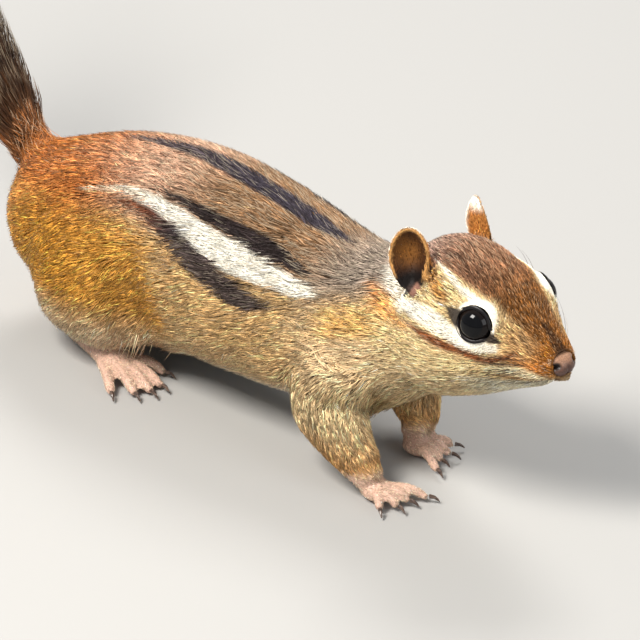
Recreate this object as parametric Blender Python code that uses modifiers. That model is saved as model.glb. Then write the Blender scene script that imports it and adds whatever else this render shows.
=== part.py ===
"""An eastern chipmunk at life size, low on all fours with its tail raised.

The nose points along +X, the left side is at +Y, and the four feet stand on z = 0.
The body is modelled as overlapping lofts and ellipsoids, wrapped in one skin by a
voxel remesh, and then parted with thin cuts into the pieces that a person would name.
All the sizes below are in millimetres and reach out to the tips of the short coat.
"""

import math

import bmesh
import bpy
import numpy as np
from mathutils import Matrix, Vector

MM = 0.001
GAP = 0.3

# Torso and neck, from rump to nape: x, top of the back, underside, half width, and how
# square the oval is above its middle, where 2 is an ellipse and less is ridged
TORSO = (
    (-85.5, 31.0, 21.0, 5.5, 1.8),
    (-83.0, 33.6, 14.0, 11.5, 1.8),
    (-75.5, 37.2, 7.5, 17.0, 1.8),
    (-62.0, 42.8, 4.8, 19.6, 1.8),
    (-48.0, 46.5, 4.8, 20.2, 1.8),
    (-36.0, 48.0, 5.0, 20.2, 1.8),
    (-25.0, 47.5, 5.4, 19.8, 1.8),
    (-14.0, 46.2, 6.0, 19.2, 1.8),
    (-4.0, 44.4, 6.8, 18.4, 1.8),
    (5.0, 43.2, 8.4, 17.2, 1.8),
    (14.0, 44.6, 10.0, 15.8, 1.8),
    (22.0, 47.4, 14.2, 14.0, 1.7),
    (29.0, 49.6, 19.0, 12.8, 1.6),
)
# Head, from behind the ears to the tip of the muzzle, in the same columns
HEAD = (
    (21.0, 47.6, 20.0, 9.5, 1.6),
    (27.0, 52.4, 19.6, 12.6, 1.6),
    (33.0, 55.0, 20.4, 14.0, 1.6),
    (39.0, 54.4, 22.6, 13.8, 1.8),
    (45.0, 51.9, 25.2, 12.2, 2.1),
    (50.0, 48.8, 27.8, 9.9, 2.1),
    (54.0, 45.5, 29.8, 7.6, 2.0),
    (57.5, 42.4, 31.5, 5.6, 2.0),
    (60.0, 40.3, 33.0, 4.2, 2.0),
    (61.6, 38.6, 34.2, 2.6, 2.0),
)
UNDER_SQUARENESS = 2.15

# Haunch: the thigh that bulges from each side of the rump
HAUNCH_CENTRE = (-55.0, 12.0, 19.5)
HAUNCH_RADII = (17.5, 11.5, 16.5)
HAUNCH_PITCH = math.radians(-18)
# What of the skin counts as the hind leg, and how far its centre is from the haunch's
HIND_LEG_REGION = (21.0, 11.5, 19.5)
HIND_LEG_REGION_SHIFT = (1.0, 3.0, -2.0)

# Limbs: points down the right side as x, y, z and radius
FORELEG = ((12.5, -8.5, 24.0, 10.8), (10.0, -12.0, 15.5, 8.6), (15.8, -14.4, 10.6, 6.1),
           (21.5, -15.4, 6.4, 4.1), (25.0, -15.2, 3.4, 2.9))
SHANK = ((-41.0, -11.0, 17.0, 9.0), (-52.0, -13.5, 11.0, 6.0), (-60.0, -14.0, 5.4, 3.6))
FORELEG_REGION = (13.5, 8.5, 13.5)
# The wrist, as a share of the way down the foreleg's last stretch
WRIST_SHARE = 0.3
# The left forefoot stands closer to the midline and a little further back
LEFT_FORE_SHIFT = (-7.0, -11.5)

# Feet: heel, size and yaw, then each toe's spread in degrees and its reach
FOREPAW_HEEL = (23.4, -15.0)
FOREPAW_YAW = {"right": math.radians(2), "left": math.radians(8)}
PALM_RADII = (3.7, 3.2, 2.1)
PALM_AHEAD = 2.8
FORE_TOES_AHEAD = 4.4
FORE_TOE_SPACING = 1.45
FORE_TOE_RADIUS = 1.0
FOREPAW_SPREAD = (-38, -8, 11, 26)
FOREPAW_REACH = (3.9, 4.9, 5.1, 7.4)
HIND_HEEL = (-63.0, -11.0)
HIND_LENGTH = 18.0
HIND_YAW = math.radians(-13)
HIND_SPREAD = (26, 8, 1, -7, -21)
HIND_REACH = (7.0, 10.4, 11.2, 10.4, 9.4)
HIND_TOES_BACK = (0.4, 0.0, 0.0, 0.0, 1.2)
HIND_TOE_SPACING = 1.75
HIND_TOE_RADIUS = 1.15
CLAW_LENGTH = 1.9
CLAW_RADIUS = 0.45

# Eye: centre of the right eyeball, its radius, and the opening between the lids
EYE_CENTRE = (45.9, -7.7, 43.4)
EYE_RADIUS = 4.0
EYE_FACING = (0.30, -0.92, 0.25)
LID_HALF_LENGTH = 4.0
LID_HALF_HEIGHT = 3.6
LID_THICKNESS = 0.85
# How far out from the eye's centre the lids sit, in eye radii
LID_SEAT = 0.52

# Ear: middle of the root, way the cup opens, way up to the tip, and sizes
EAR_ROOT = (30.5, -11.4, 46.9)
EAR_OPENS = (0.45, -0.86, 0.22)
EAR_UP = (0.0, -0.08, 1.0)
EAR_HEIGHT = 12.6
EAR_HALF_WIDTH = 4.0
EAR_CUP = 3.0
EAR_WALL = 0.8

NOSE_TIP = (62.4, 0.0, 37.0)
NOSE_RADII = (2.3, 2.6, 2.2)
NOSTRIL_RADII = (1.6, 0.62, 0.75)
NOSTRIL_CENTRE = (60.9, 1.65, 36.65)
NOSTRIL_YAW = math.radians(35)

MOUTH_LEVEL = 33.6
MOUTH_SLOT = 0.45
MOUTH_LENGTH = 9.5

# Tail: where it leaves the rump, its bone length, and how steeply it climbs
TAIL_ROOT = (-83.5, 0.0, 29.5)
TAIL_LENGTH = 96.0
TAIL_CLIMB = (40, 46, 51, 54, 52, 46)
TAIL_FLATNESS = 0.85
# Radius of the hair's outline and of the core, by share of the length
TAIL_OUTLINE = ((0.0, 7.0), (0.08, 6.6), (0.2, 7.6), (0.4, 9.2), (0.6, 9.8), (0.8, 8.4), (0.93, 5.6), (1.0, 2.6))
TAIL_CORE = ((0.0, 6.6), (0.08, 5.6), (0.15, 3.9), (0.4, 4.4), (0.6, 4.4), (0.8, 3.0), (0.88, 0.9))
TAIL_BONE_SHARE = 0.88
# Locks of tail hair, set round the core in a spiral: first and last root by share of the
# length, their count and the turn from each to the next, then the size of one lock
LOCK_ROOTS = (0.04, 0.84, 57)
LOCK_TURN = math.radians(137.5)
LOCK_REACH = 20.0
LOCK_ROOT_DEPTH = 0.55
# Share of the way to the tip, half width and thickness there
LOCK_SHAPE = ((0.0, 1.6, 1.0), (0.35, 3.6, 1.1), (0.72, 2.4, 0.7), (1.0, 0.25, 0.15))
TAIL_SEED = 11
TAIL_STEPS = 1000

# Planes that part the skin into nodes, from the front: the node ahead of the plane,
# a point on the plane and the way it faces. What is left behind them is the rump.
CUTS = (
    ("head", (25.0, 0.0, 36.0), (0.94, 0.0, 0.34)),
    ("neck", (12.0, 0.0, 30.0), (0.97, 0.0, 0.24)),
    ("chest", (-12.0, 0.0, 26.0), (1.0, 0.0, 0.0)),
    ("loins", (-42.0, 0.0, 26.0), (1.0, 0.0, 0.0)),
)

SKIN_VOXEL = 0.62
PAW_VOXEL = 0.32
SKIN_TRIANGLES = 22000
PAW_TRIANGLES = 2400
# Triangles that each node is thinned to, by what is in its name
BUDGET = {
    "claw": 44, "head": 3600, "neck": 650, "chest": 1000, "loins": 750, "rump": 1000,
    "ear": 420, "nose": 320, "foreleg": 500, "hind_leg": 640,
    "forepaw": 520, "hind_foot": 640, "eye": 300,
}

# Base colour and roughness
MATERIALS = {
    "coat_back": ((0.33, 0.20, 0.11, 1), 0.8),
    "coat_rump": ((0.45, 0.18, 0.06, 1), 0.8),
    "coat_side": ((0.52, 0.34, 0.15, 1), 0.8),
    "bare_skin": ((0.62, 0.42, 0.35, 1), 0.6),
    "eye_black": ((0.01, 0.01, 0.01, 1), 0.05),
    "nose_skin": ((0.30, 0.17, 0.14, 1), 0.45),
    "claw_horn": ((0.12, 0.09, 0.07, 1), 0.35),
}


def collection(name):
    """The collection of that name, made when it isn't there yet."""
    found = bpy.data.collections.get(name)
    if found is None:
        found = bpy.data.collections.new(name)
        bpy.context.scene.collection.children.link(found)
    return found


def put_in(obj, name):
    """Moves an object to a collection."""
    for old in list(obj.users_collection):
        old.objects.unlink(obj)
    collection(name).objects.link(obj)


def spline(rows, count):
    """Catmull-Rom curve through the rows, read at count even steps."""
    rows = np.array(rows, float)
    padded = np.vstack([2 * rows[0] - rows[1], rows, 2 * rows[-1] - rows[-2]])
    found = []
    for t in np.linspace(0, len(rows) - 1, count):
        i = min(int(t), len(rows) - 2)
        f = t - i
        a, b, c, d = padded[i : i + 4]
        bend = (2 * b, c - a, 2 * a - 5 * b + 4 * c - d, 3 * b - a - 3 * c + d)
        found.append(0.5 * (bend[0] + bend[1] * f + bend[2] * f**2 + bend[3] * f**3))
    return np.array(found)


def add_object(name, points, faces):
    """A mesh object from points in millimetres."""
    mesh = bpy.data.meshes.new(name)
    mesh.from_pydata([Vector(p) * MM for p in points], [], faces)
    obj = bpy.data.objects.new(name, mesh)
    put_in(obj, "forms")
    return obj


def loft(name, rings):
    """A closed body through rings of equal count, ended by a fan at each end."""
    sides = len(rings[0])
    points = [p for ring in rings for p in ring]
    faces = []
    for i in range(len(rings) - 1):
        for j in range(sides):
            k = (j + 1) % sides
            low, high = i * sides, (i + 1) * sides
            faces.append((low + j, low + k, high + k, high + j))
    for ring, first in ((rings[0], 0), (rings[-1], (len(rings) - 1) * sides)):
        points.append(np.mean(ring, axis=0))
        for j in range(sides):
            faces.append((len(points) - 1, first + j, first + (j + 1) % sides))
    obj = add_object(name, points, faces)
    face_outwards(obj.data)
    return obj


def face_outwards(mesh):
    bm = bmesh.new()
    bm.from_mesh(mesh)
    bmesh.ops.recalc_face_normals(bm, faces=bm.faces)
    bm.to_mesh(mesh)
    bm.free()


def upright_loft(name, table, count=60, sides=48):
    """A loft of upright ovals along X, from rows of the columns described above."""
    rings = []
    for x, top, bottom, half_width, squareness in spline(table, count):
        middle, half_height = (top + bottom) / 2, (top - bottom) / 2
        ring = []
        for k in range(sides):
            c, s = math.cos(math.tau * k / sides), math.sin(math.tau * k / sides)
            power = 2 / (squareness if s > 0 else UNDER_SQUARENESS)
            y = half_width * math.copysign(abs(c) ** power, c)
            z = half_height * math.copysign(abs(s) ** power, s)
            ring.append((x, y, middle + z))
        rings.append(ring)
    return loft(name, rings)


def tube(name, rows, count=16, sides=16, flatness=1.0):
    """A round limb through rows of x, y, z and radius. flatness squashes it upright."""
    rows = spline(rows, count)
    centres = [Vector(row[:3]) for row in rows]
    rings = []
    for i, centre in enumerate(centres):
        ahead = centres[min(i + 1, count - 1)] - centres[max(i - 1, 0)]
        side = ahead.cross(Vector((0, 0, 1)))
        if side.length < 1e-6:
            side = Vector((0, 1, 0))
        side.normalize()
        up = side.cross(ahead).normalized()
        radius = rows[i][3]
        ring = []
        for k in range(sides):
            turn = math.tau * k / sides
            out = side * math.cos(turn) + up * math.sin(turn) * flatness
            ring.append(centre + out * radius)
        rings.append(ring)
    return loft(name, rings)


def ellipsoid(name, centre, radii, turn=None, segments=32, rings=20):
    """A UV sphere stretched to three radii, turned by a matrix, at a centre."""
    mesh = bpy.data.meshes.new(name)
    bm = bmesh.new()
    bmesh.ops.create_uvsphere(bm, u_segments=segments, v_segments=rings, radius=1)
    stretch = Matrix.Diagonal([r * MM for r in radii]).to_4x4()
    place = Matrix.Translation(Vector(centre) * MM)
    bm.transform(place @ (turn or Matrix.Identity(4)) @ stretch)
    bm.to_mesh(mesh)
    bm.free()
    obj = bpy.data.objects.new(name, mesh)
    put_in(obj, "forms")
    return obj


def mirrored(point):
    """The same point on the other side of the body."""
    return (point[0], -point[1], *point[2:])


def apply_modifiers(obj):
    """Bakes the object's modifiers into its mesh."""
    graph = bpy.context.evaluated_depsgraph_get()
    mesh = bpy.data.meshes.new_from_object(obj.evaluated_get(graph))
    obj.modifiers.clear()
    obj.data = mesh


def copy_of(obj, name):
    twin = obj.copy()
    twin.data = obj.data.copy()
    twin.name = name
    put_in(twin, "forms")
    return twin


def drop(*objects):
    for obj in objects:
        bpy.data.objects.remove(obj)


def joined(name, pieces):
    """One object that holds all the pieces' faces. The pieces are removed."""
    mesh = bpy.data.meshes.new(name)
    bm = bmesh.new()
    for piece in pieces:
        bm.from_mesh(piece.data)
    bm.to_mesh(mesh)
    bm.free()
    drop(*pieces)
    obj = bpy.data.objects.new(name, mesh)
    put_in(obj, "forms")
    return obj


def wrapped(name, pieces, voxel, smoothing):
    """One closed skin round pieces that overlap, softened where they meet."""
    obj = joined(name, pieces)
    remesh = obj.modifiers.new("Wrap", "REMESH")
    remesh.mode = "VOXEL"
    remesh.voxel_size = voxel * MM
    soften = obj.modifiers.new("Soften", "SMOOTH")
    soften.factor = 0.5
    soften.iterations = smoothing
    apply_modifiers(obj)
    return obj


def boolean(obj, other, operation, solver="EXACT"):
    """Applies a Boolean with another mesh object, which is removed."""
    cut = obj.modifiers.new("Cut", "BOOLEAN")
    cut.operation = operation
    cut.solver = solver
    cut.object = other
    put_in(other, "cutters")
    other.hide_render = True
    other.display_type = "WIRE"
    apply_modifiers(obj)
    drop(other)
    keep_largest(obj)


def keep_largest(obj):
    """Keeps only the largest closed surface, which drops loose scraps."""
    bm = bmesh.new()
    bm.from_mesh(obj.data)
    left, groups = set(bm.verts), []
    while left:
        start = left.pop()
        group, edge_of_search = {start}, [start]
        while edge_of_search:
            vert = edge_of_search.pop()
            for edge in vert.link_edges:
                other = edge.other_vert(vert)
                if other not in group:
                    group.add(other)
                    edge_of_search.append(other)
        left -= group
        groups.append(group)
    groups.sort(key=len)
    for group in groups[:-1]:
        bmesh.ops.delete(bm, geom=list(group), context="VERTS")
    bm.to_mesh(obj.data)
    bm.free()


def grown(obj, name, by=GAP):
    """A copy that is larger all round by a distance."""
    twin = copy_of(obj, name)
    swell = twin.modifiers.new("Swell", "DISPLACE")
    swell.mid_level = 0
    swell.strength = by * MM
    apply_modifiers(twin)
    return twin


def halved(obj, name, point, normal, keep_front):
    """A closed copy of the part of obj in front of, or behind, a plane."""
    twin = copy_of(obj, name)
    side = 1 if keep_front else -1
    offset = Vector(normal).normalized() * side * GAP / 2
    bm = bmesh.new()
    bm.from_mesh(twin.data)
    bmesh.ops.bisect_plane(
        bm, geom=bm.verts[:] + bm.edges[:] + bm.faces[:], dist=1e-7,
        plane_co=(Vector(point) + offset) * MM, plane_no=normal,
        clear_inner=keep_front, clear_outer=not keep_front,
    )
    rim = [edge for edge in bm.edges if edge.is_boundary]
    bmesh.ops.holes_fill(bm, edges=rim, sides=0)
    bmesh.ops.recalc_face_normals(bm, faces=bm.faces)
    bm.to_mesh(twin.data)
    bm.free()
    keep_largest(twin)
    return twin


def thinned(obj, triangles):
    """Decimates to about a count of triangles."""
    obj.data.calc_loop_triangles()
    thin = obj.modifiers.new("Thin", "DECIMATE")
    thin.ratio = min(1.0, triangles / len(obj.data.loop_triangles))
    thin.use_collapse_triangulate = True
    apply_modifiers(obj)


def stand_flat(obj):
    """Presses what is under the floor flat onto it."""
    for vert in obj.data.vertices:
        vert.co.z = max(vert.co.z, 0.0)


def axes_matrix(out, up):
    """A turn that takes X to out, Z as near as it can to up, and Y to their left."""
    x = Vector(out).normalized()
    y = Vector(up).cross(x).normalized()
    z = x.cross(y)
    return Matrix((x, y, z)).transposed().to_4x4()


def lid_ring(name, centre, facing):
    """A soft almond ring round the eyeball, which the socket cuts to a lid's edge."""
    bpy.ops.mesh.primitive_torus_add(
        major_segments=32, minor_segments=12,
        major_radius=LID_HALF_LENGTH * MM, minor_radius=LID_THICKNESS * MM,
    )
    ring = bpy.context.object
    ring.name = name
    put_in(ring, "forms")
    turn = axes_matrix(facing, (0, 0, 1))
    lay = Matrix.Rotation(math.pi / 2, 4, "Y")
    squash = Matrix.Diagonal((1, 1, LID_HALF_HEIGHT / LID_HALF_LENGTH, 1))
    seat = Vector(centre) + Vector(facing).normalized() * EYE_RADIUS * LID_SEAT
    ring.data.transform(Matrix.Translation(seat * MM) @ turn @ squash @ lay)
    return ring


def left_foreleg_rows():
    """The left foreleg: the right one mirrored, its foot set further back and inwards."""
    rows = []
    for i, row in enumerate(FORELEG):
        share = i / (len(FORELEG) - 1)
        x, y, z, radius = mirrored(row)
        rows.append((x + LEFT_FORE_SHIFT[0] * share, y + LEFT_FORE_SHIFT[1] * share, z, radius))
    return rows


def body_skin():
    """The whole animal without ears, eyes, feet and tail, as one closed mesh."""
    forms = [
        upright_loft("torso_form", TORSO),
        upright_loft("head_form", HEAD),
    ]
    pitch = Matrix.Rotation(HAUNCH_PITCH, 4, "Y")
    for side in (1, -1):
        centre = (HAUNCH_CENTRE[0], side * HAUNCH_CENTRE[1], HAUNCH_CENTRE[2])
        forms.append(ellipsoid("haunch_form", centre, HAUNCH_RADII, pitch))
        shank = SHANK if side < 0 else [mirrored(p) for p in SHANK]
        forms.append(tube("shank_form", shank))
        eye = EYE_CENTRE if side < 0 else mirrored(EYE_CENTRE)
        facing = EYE_FACING if side < 0 else mirrored(EYE_FACING)
        forms.append(lid_ring("lid_form", eye, facing))
    forms.append(tube("right_foreleg_form", FORELEG))
    forms.append(tube("left_foreleg_form", left_foreleg_rows()))
    return wrapped("skin", forms, SKIN_VOXEL, 6)


def toe(name, root, yaw, reach, radius):
    """A toe that arches up over its knuckle and comes down to its tip."""
    ahead = Vector((math.cos(yaw), math.sin(yaw), 0))
    rows = []
    for share, height, width in ((-0.25, 2.0, 1.05), (0.2, 2.6, 1.0), (0.55, 2.5, 1.0),
                                 (0.85, 1.5, 0.95), (1.0, 1.05, 0.7)):
        spot = Vector((root[0], root[1], 0)) + ahead * reach * share
        rows.append((spot.x, spot.y, height, radius * width))
    return tube(name, rows, count=12, sides=12)


def claw(name, root, yaw):
    """A curved claw that starts inside the toe's tip and points down."""
    ahead = Vector((math.cos(yaw), math.sin(yaw), 0))
    rows = []
    for share, height, width in ((-0.45, 1.35, 1.0), (0.0, 1.5, 1.0), (0.55, 1.3, 0.7), (1.0, 0.6, 0.22)):
        spot = Vector((root[0], root[1], 0)) + ahead * CLAW_LENGTH * share
        rows.append((spot.x, spot.y, height, CLAW_RADIUS * width))
    return tube(name, rows, count=6, sides=8)


def foot_with_claws(name, base_forms, toe_roots, yaws, reaches, radius):
    """A foot of a sole and toes, and its claws as nodes of their own."""
    forms = list(base_forms)
    tips = []
    for k, (root, yaw, reach) in enumerate(zip(toe_roots, yaws, reaches)):
        forms.append(toe(f"toe_form_{k}", root, yaw, reach, radius))
        tips.append((root[0] + math.cos(yaw) * (reach + radius * 0.45),
                     root[1] + math.sin(yaw) * (reach + radius * 0.45)))
    foot = wrapped(name, forms, PAW_VOXEL, 3)
    stand_flat(foot)
    thinned(foot, PAW_TRIANGLES)
    claws = []
    for k, (tip, yaw) in enumerate(zip(tips, yaws)):
        nail = claw(f"{name}_claw_{k + 1}", tip, yaw)
        boolean(nail, grown(foot, "foot_grown"), "DIFFERENCE")
        claws.append(nail)
    return foot, claws


def forepaw(side):
    """A forefoot with four clawed toes. side is -1 on the right and 1 on the left."""
    label = "right" if side < 0 else "left"
    heel = Vector(FOREPAW_HEEL)
    if side > 0:
        heel = Vector((heel.x + LEFT_FORE_SHIFT[0], -heel.y + LEFT_FORE_SHIFT[1]))
    yaw = FOREPAW_YAW[label]
    ahead = Vector((math.cos(yaw), math.sin(yaw)))
    across = Vector((-ahead.y, ahead.x)) * -side
    turn = Matrix.Rotation(yaw, 4, "Z")
    palm_at = heel + ahead * PALM_AHEAD
    forms = [ellipsoid("palm_form", (palm_at.x, palm_at.y, 1.8), PALM_RADII, turn)]
    rows = FORELEG if side < 0 else left_foreleg_rows()
    forms.append(tube("wrist_form", rows))
    roots, yaws = [], []
    for k, spread in enumerate(FOREPAW_SPREAD):
        spot = heel + ahead * FORE_TOES_AHEAD + across * (k - 1.5) * FORE_TOE_SPACING
        roots.append((spot.x, spot.y))
        yaws.append(yaw - side * math.radians(spread))
    return foot_with_claws(f"forepaw_{label}", forms, roots, yaws, FOREPAW_REACH, FORE_TOE_RADIUS)


def hind_foot(side):
    """A long hind foot with five clawed toes, flat from heel to toes."""
    heel = Vector((HIND_HEEL[0], -side * HIND_HEEL[1]))
    yaw = -side * HIND_YAW
    ahead = Vector((math.cos(yaw), math.sin(yaw)))
    across = Vector((-ahead.y, ahead.x)) * -side
    rows = []
    for share, height, radius in ((0, 2.6, 2.6), (0.25, 2.9, 2.9), (0.6, 2.6, 3.1), (1.0, 1.9, 3.4)):
        spot = heel + ahead * HIND_LENGTH * share
        rows.append((spot.x, spot.y, height, radius))
    forms = [tube("sole_form", rows, flatness=0.85)]
    roots, yaws = [], []
    for k, spread in enumerate(HIND_SPREAD):
        spot = heel + ahead * (HIND_LENGTH - HIND_TOES_BACK[k]) + across * (2 - k) * HIND_TOE_SPACING
        roots.append((spot.x, spot.y))
        yaws.append(yaw - side * math.radians(spread))
    name = "hind_foot_right" if side < 0 else "hind_foot_left"
    return foot_with_claws(name, forms, roots, yaws, HIND_REACH, HIND_TOE_RADIUS)


def ear(side):
    """A cupped ear: an egg-shaped bowl with a thin wall."""
    root = Vector(EAR_ROOT if side < 0 else mirrored(EAR_ROOT))
    opens = Vector(EAR_OPENS if side < 0 else mirrored(EAR_OPENS)).normalized()
    up = Vector(EAR_UP if side < 0 else mirrored(EAR_UP))
    up = (up - opens * up.dot(opens)).normalized()
    across = up.cross(opens)
    rings, sides = 6, 28
    points, faces = [], []
    middle = root + up * (EAR_HEIGHT * 0.40)
    points.append(middle - opens * EAR_CUP)
    for i in range(1, rings + 1):
        r = i / rings
        for k in range(sides):
            turn = math.tau * k / sides
            high = math.sin(turn)
            narrow = 1.0 - 0.28 * max(0.0, -high)
            wide = EAR_HALF_WIDTH * math.cos(turn) * narrow
            tall = EAR_HEIGHT / 2 * high
            depth = EAR_CUP * (1 - r**2.4)
            points.append(middle + across * wide * r + up * tall * r - opens * depth)
    for k in range(sides):
        faces.append((0, 1 + k, 1 + (k + 1) % sides))
    for i in range(rings - 1):
        for k in range(sides):
            a, b = 1 + i * sides, 1 + (i + 1) * sides
            n = (k + 1) % sides
            faces.append((a + k, b + k, b + n, a + n))
    cup = add_object("ear_right" if side < 0 else "ear_left", points, faces)
    wall = cup.modifiers.new("Wall", "SOLIDIFY")
    wall.thickness = EAR_WALL * MM
    wall.offset = 0
    apply_modifiers(cup)
    face_outwards(cup.data)
    return cup


def nose_form(name, extra):
    """The nose pad's ellipsoid, larger all round by a distance."""
    centre = (NOSE_TIP[0] - NOSE_RADII[0], NOSE_TIP[1], NOSE_TIP[2])
    return ellipsoid(name, centre, [r + extra for r in NOSE_RADII], segments=24, rings=14)


def nose_pad():
    pad = nose_form("nose", 0)
    for side in (1, -1):
        turn = Matrix.Rotation(side * NOSTRIL_YAW, 4, "Z")
        centre = (NOSTRIL_CENTRE[0], side * NOSTRIL_CENTRE[1], NOSTRIL_CENTRE[2])
        hole = ellipsoid("nostril", centre, NOSTRIL_RADII, turn, segments=12, rings=8)
        boolean(pad, hole, "DIFFERENCE")
    return pad


def mouth_cutter():
    """A thin curved plate that cuts the line between the lips."""
    rows, columns, points, faces = 10, 9, [], []
    for i in range(rows):
        x = NOSE_TIP[0] + 2 - (MOUTH_LENGTH + 2) * i / (rows - 1)
        back = i / (rows - 1)
        for j in range(columns):
            y = -9 + 18 * j / (columns - 1)
            z = MOUTH_LEVEL - 1.6 * back + 0.9 * back**2 + 0.012 * y * y
            points.append((x, y, z))
    for i in range(rows - 1):
        for j in range(columns - 1):
            a = i * columns + j
            faces.append((a, a + 1, a + columns + 1, a + columns))
    blade = add_object("mouth_blade", points, faces)
    wall = blade.modifiers.new("Wall", "SOLIDIFY")
    wall.thickness = MOUTH_SLOT * MM
    wall.offset = 0
    apply_modifiers(blade)
    face_outwards(blade.data)
    return blade


def tail_path():
    """Points up the tail with the way ahead at each, as it climbs behind the rump."""
    spot, found = Vector(TAIL_ROOT), []
    for climb in spline([(c,) for c in TAIL_CLIMB], TAIL_STEPS + 1)[:, 0]:
        ahead = Vector((-math.cos(math.radians(climb)), 0, math.sin(math.radians(climb))))
        found.append((spot.copy(), ahead))
        spot += ahead * TAIL_LENGTH / TAIL_STEPS
    return found


def tail_ring(spot, ahead, radius, sides):
    """A ring square to the tail's way, a little flatter than it is wide."""
    side = Vector((0, 1, 0))
    up = ahead.cross(side)
    turns = [math.tau * k / sides for k in range(sides)]
    return [spot + (side * math.cos(t) + up * math.sin(t) * TAIL_FLATNESS) * radius for t in turns]


def tail_core():
    """The fleshy tail with its underfur, which carries the locks."""
    path = tail_path()
    rings = []
    for share in np.linspace(0, TAIL_BONE_SHARE, 12):
        spot, ahead = path[round(share * TAIL_STEPS)]
        rings.append(tail_ring(spot, ahead, np.interp(share, *zip(*TAIL_CORE)), 10))
    return loft("tail", rings)


def tail_lock(path, share, turn, reach, lift, bend):
    """One flat, tapered lock of tail hair, from inside the core to the tail's outline."""
    side = Vector((0, 1, 0))
    inner = np.interp(share, *zip(*TAIL_CORE)) * LOCK_ROOT_DEPTH
    rings = []
    for along, width, thickness in LOCK_SHAPE:
        at = min(share + reach * along / TAIL_LENGTH, 1.0)
        spot, ahead = path[round(at * TAIL_STEPS)]
        outer = np.interp(at, *zip(*TAIL_OUTLINE)) * lift
        radius = inner + (outer - inner) * (1 - (1 - along) ** 1.7)
        angle = turn + bend * along
        up = ahead.cross(side)
        out = side * math.cos(angle) + up * math.sin(angle) * TAIL_FLATNESS
        across = (up * math.cos(angle) - side * math.sin(angle)).normalized()
        middle = spot + out * (radius - thickness)
        rings.append([middle + across * width, middle + out.normalized() * thickness, middle - across * width])
    return loft("lock", rings)


def bushy_tail():
    """The tail's core with all of its locks fused to it."""
    rng = np.random.default_rng(TAIL_SEED)
    path = tail_path()
    core = tail_core()
    for k, share in enumerate(np.linspace(*LOCK_ROOTS)):
        reach = LOCK_REACH * rng.uniform(0.88, 1.12)
        lift = rng.uniform(0.94, 1.05)
        bend = rng.uniform(-0.25, 0.25)
        put_in(tail_lock(path, share, k * LOCK_TURN, reach, lift, bend), "tail_locks")
    fuse = core.modifiers.new("Fuse", "BOOLEAN")
    fuse.operation = "UNION"
    fuse.operand_type = "COLLECTION"
    fuse.collection = collection("tail_locks")
    fuse.solver = "MANIFOLD"
    apply_modifiers(core)
    drop(*collection("tail_locks").objects)
    bpy.data.collections.remove(collection("tail_locks"))
    keep_largest(core)
    return core


def painted(obj, key):
    colour, roughness = MATERIALS[key]
    material = bpy.data.materials.get(key) or bpy.data.materials.new(key)
    material.use_nodes = True
    shader = material.node_tree.nodes["Principled BSDF"]
    shader.inputs["Base Color"].default_value = colour
    shader.inputs["Roughness"].default_value = roughness
    obj.data.materials.clear()
    obj.data.materials.append(material)
    obj.data.shade_smooth()


def taken_out(skin, cutter, name):
    """Takes what lies in the cutter out of the skin as a node, with a thin gap left."""
    piece = copy_of(skin, name)
    boolean(piece, copy_of(cutter, "inside"), "INTERSECT")
    boolean(skin, grown(cutter, "outside"), "DIFFERENCE")
    drop(cutter)
    return piece


def stand_in_frame(objects):
    """Slides the whole animal so that the bottom centre of its box is at the origin."""
    corners = np.array([v.co for obj in objects for v in obj.data.vertices])
    low, high = corners.min(axis=0), corners.max(axis=0)
    shift = Vector((-(low[0] + high[0]) / 2, -(low[1] + high[1]) / 2, -low[2]))
    for obj in objects:
        obj.data.transform(Matrix.Translation(shift))
        obj.data.update()
    print("moved by, mm:", *[round(v / MM, 4) for v in shift])


def eyes_and_nose(skin):
    """Eyeballs in their sockets, the nose pad in its seat and the line of the mouth."""
    pieces = {}
    for side in (1, -1):
        centre = EYE_CENTRE if side < 0 else mirrored(EYE_CENTRE)
        name = "eye_right" if side < 0 else "eye_left"
        boolean(skin, ellipsoid("socket", centre, [EYE_RADIUS + GAP] * 3), "DIFFERENCE")
        pieces[name] = ellipsoid(name, centre, [EYE_RADIUS] * 3, segments=24, rings=14)
    pieces["nose"] = nose_pad()
    boolean(skin, mouth_cutter(), "DIFFERENCE")
    boolean(skin, nose_form("nose_seat", GAP), "DIFFERENCE")
    return pieces


def leg_pieces(skin, side):
    """The legs and feet of one side. Feet are trimmed where the leg's coat lies over them."""
    label = "right" if side < 0 else "left"
    pieces = {}
    foot, claws = hind_foot(side)
    boolean(foot, grown(skin, "skin_grown"), "DIFFERENCE")
    pieces[foot.name] = foot
    pieces.update({c.name: c for c in claws})

    paw, claws = forepaw(side)
    rows = FORELEG if side < 0 else left_foreleg_rows()
    upper, lower = Vector(rows[3][:3]), Vector(rows[4][:3])
    wrist = upper.lerp(lower, WRIST_SHARE)
    ahead = (lower - upper).normalized()
    pieces[f"forepaw_{label}"] = halved(paw, "forepaw", wrist, ahead, True)
    drop(paw)
    pieces.update({c.name: c for c in claws})
    region = ellipsoid("foreleg_region", rows[2][:3], FORELEG_REGION)
    leg = taken_out(skin, region, "foreleg")
    pieces[f"foreleg_{label}"] = halved(leg, f"foreleg_{label}", wrist, ahead, False)
    drop(leg)

    pitch = Matrix.Rotation(HAUNCH_PITCH, 4, "Y")
    x, y, z = Vector(HAUNCH_CENTRE) + Vector(HIND_LEG_REGION_SHIFT)
    region = ellipsoid("hind_leg_region", (x, side * y, z), HIND_LEG_REGION, pitch)
    pieces[f"hind_leg_{label}"] = taken_out(skin, region, f"hind_leg_{label}")
    return pieces


def look_of(name):
    """The key of a node's material."""
    if "claw" in name:
        return "claw_horn"
    if "eye" in name:
        return "eye_black"
    if name == "nose":
        return "nose_skin"
    if "paw" in name or "foot" in name:
        return "bare_skin"
    if name == "rump" or "hind_leg" in name:
        return "coat_rump"
    if name in ("head", "neck", "tail"):
        return "coat_back"
    return "coat_side"


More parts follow.
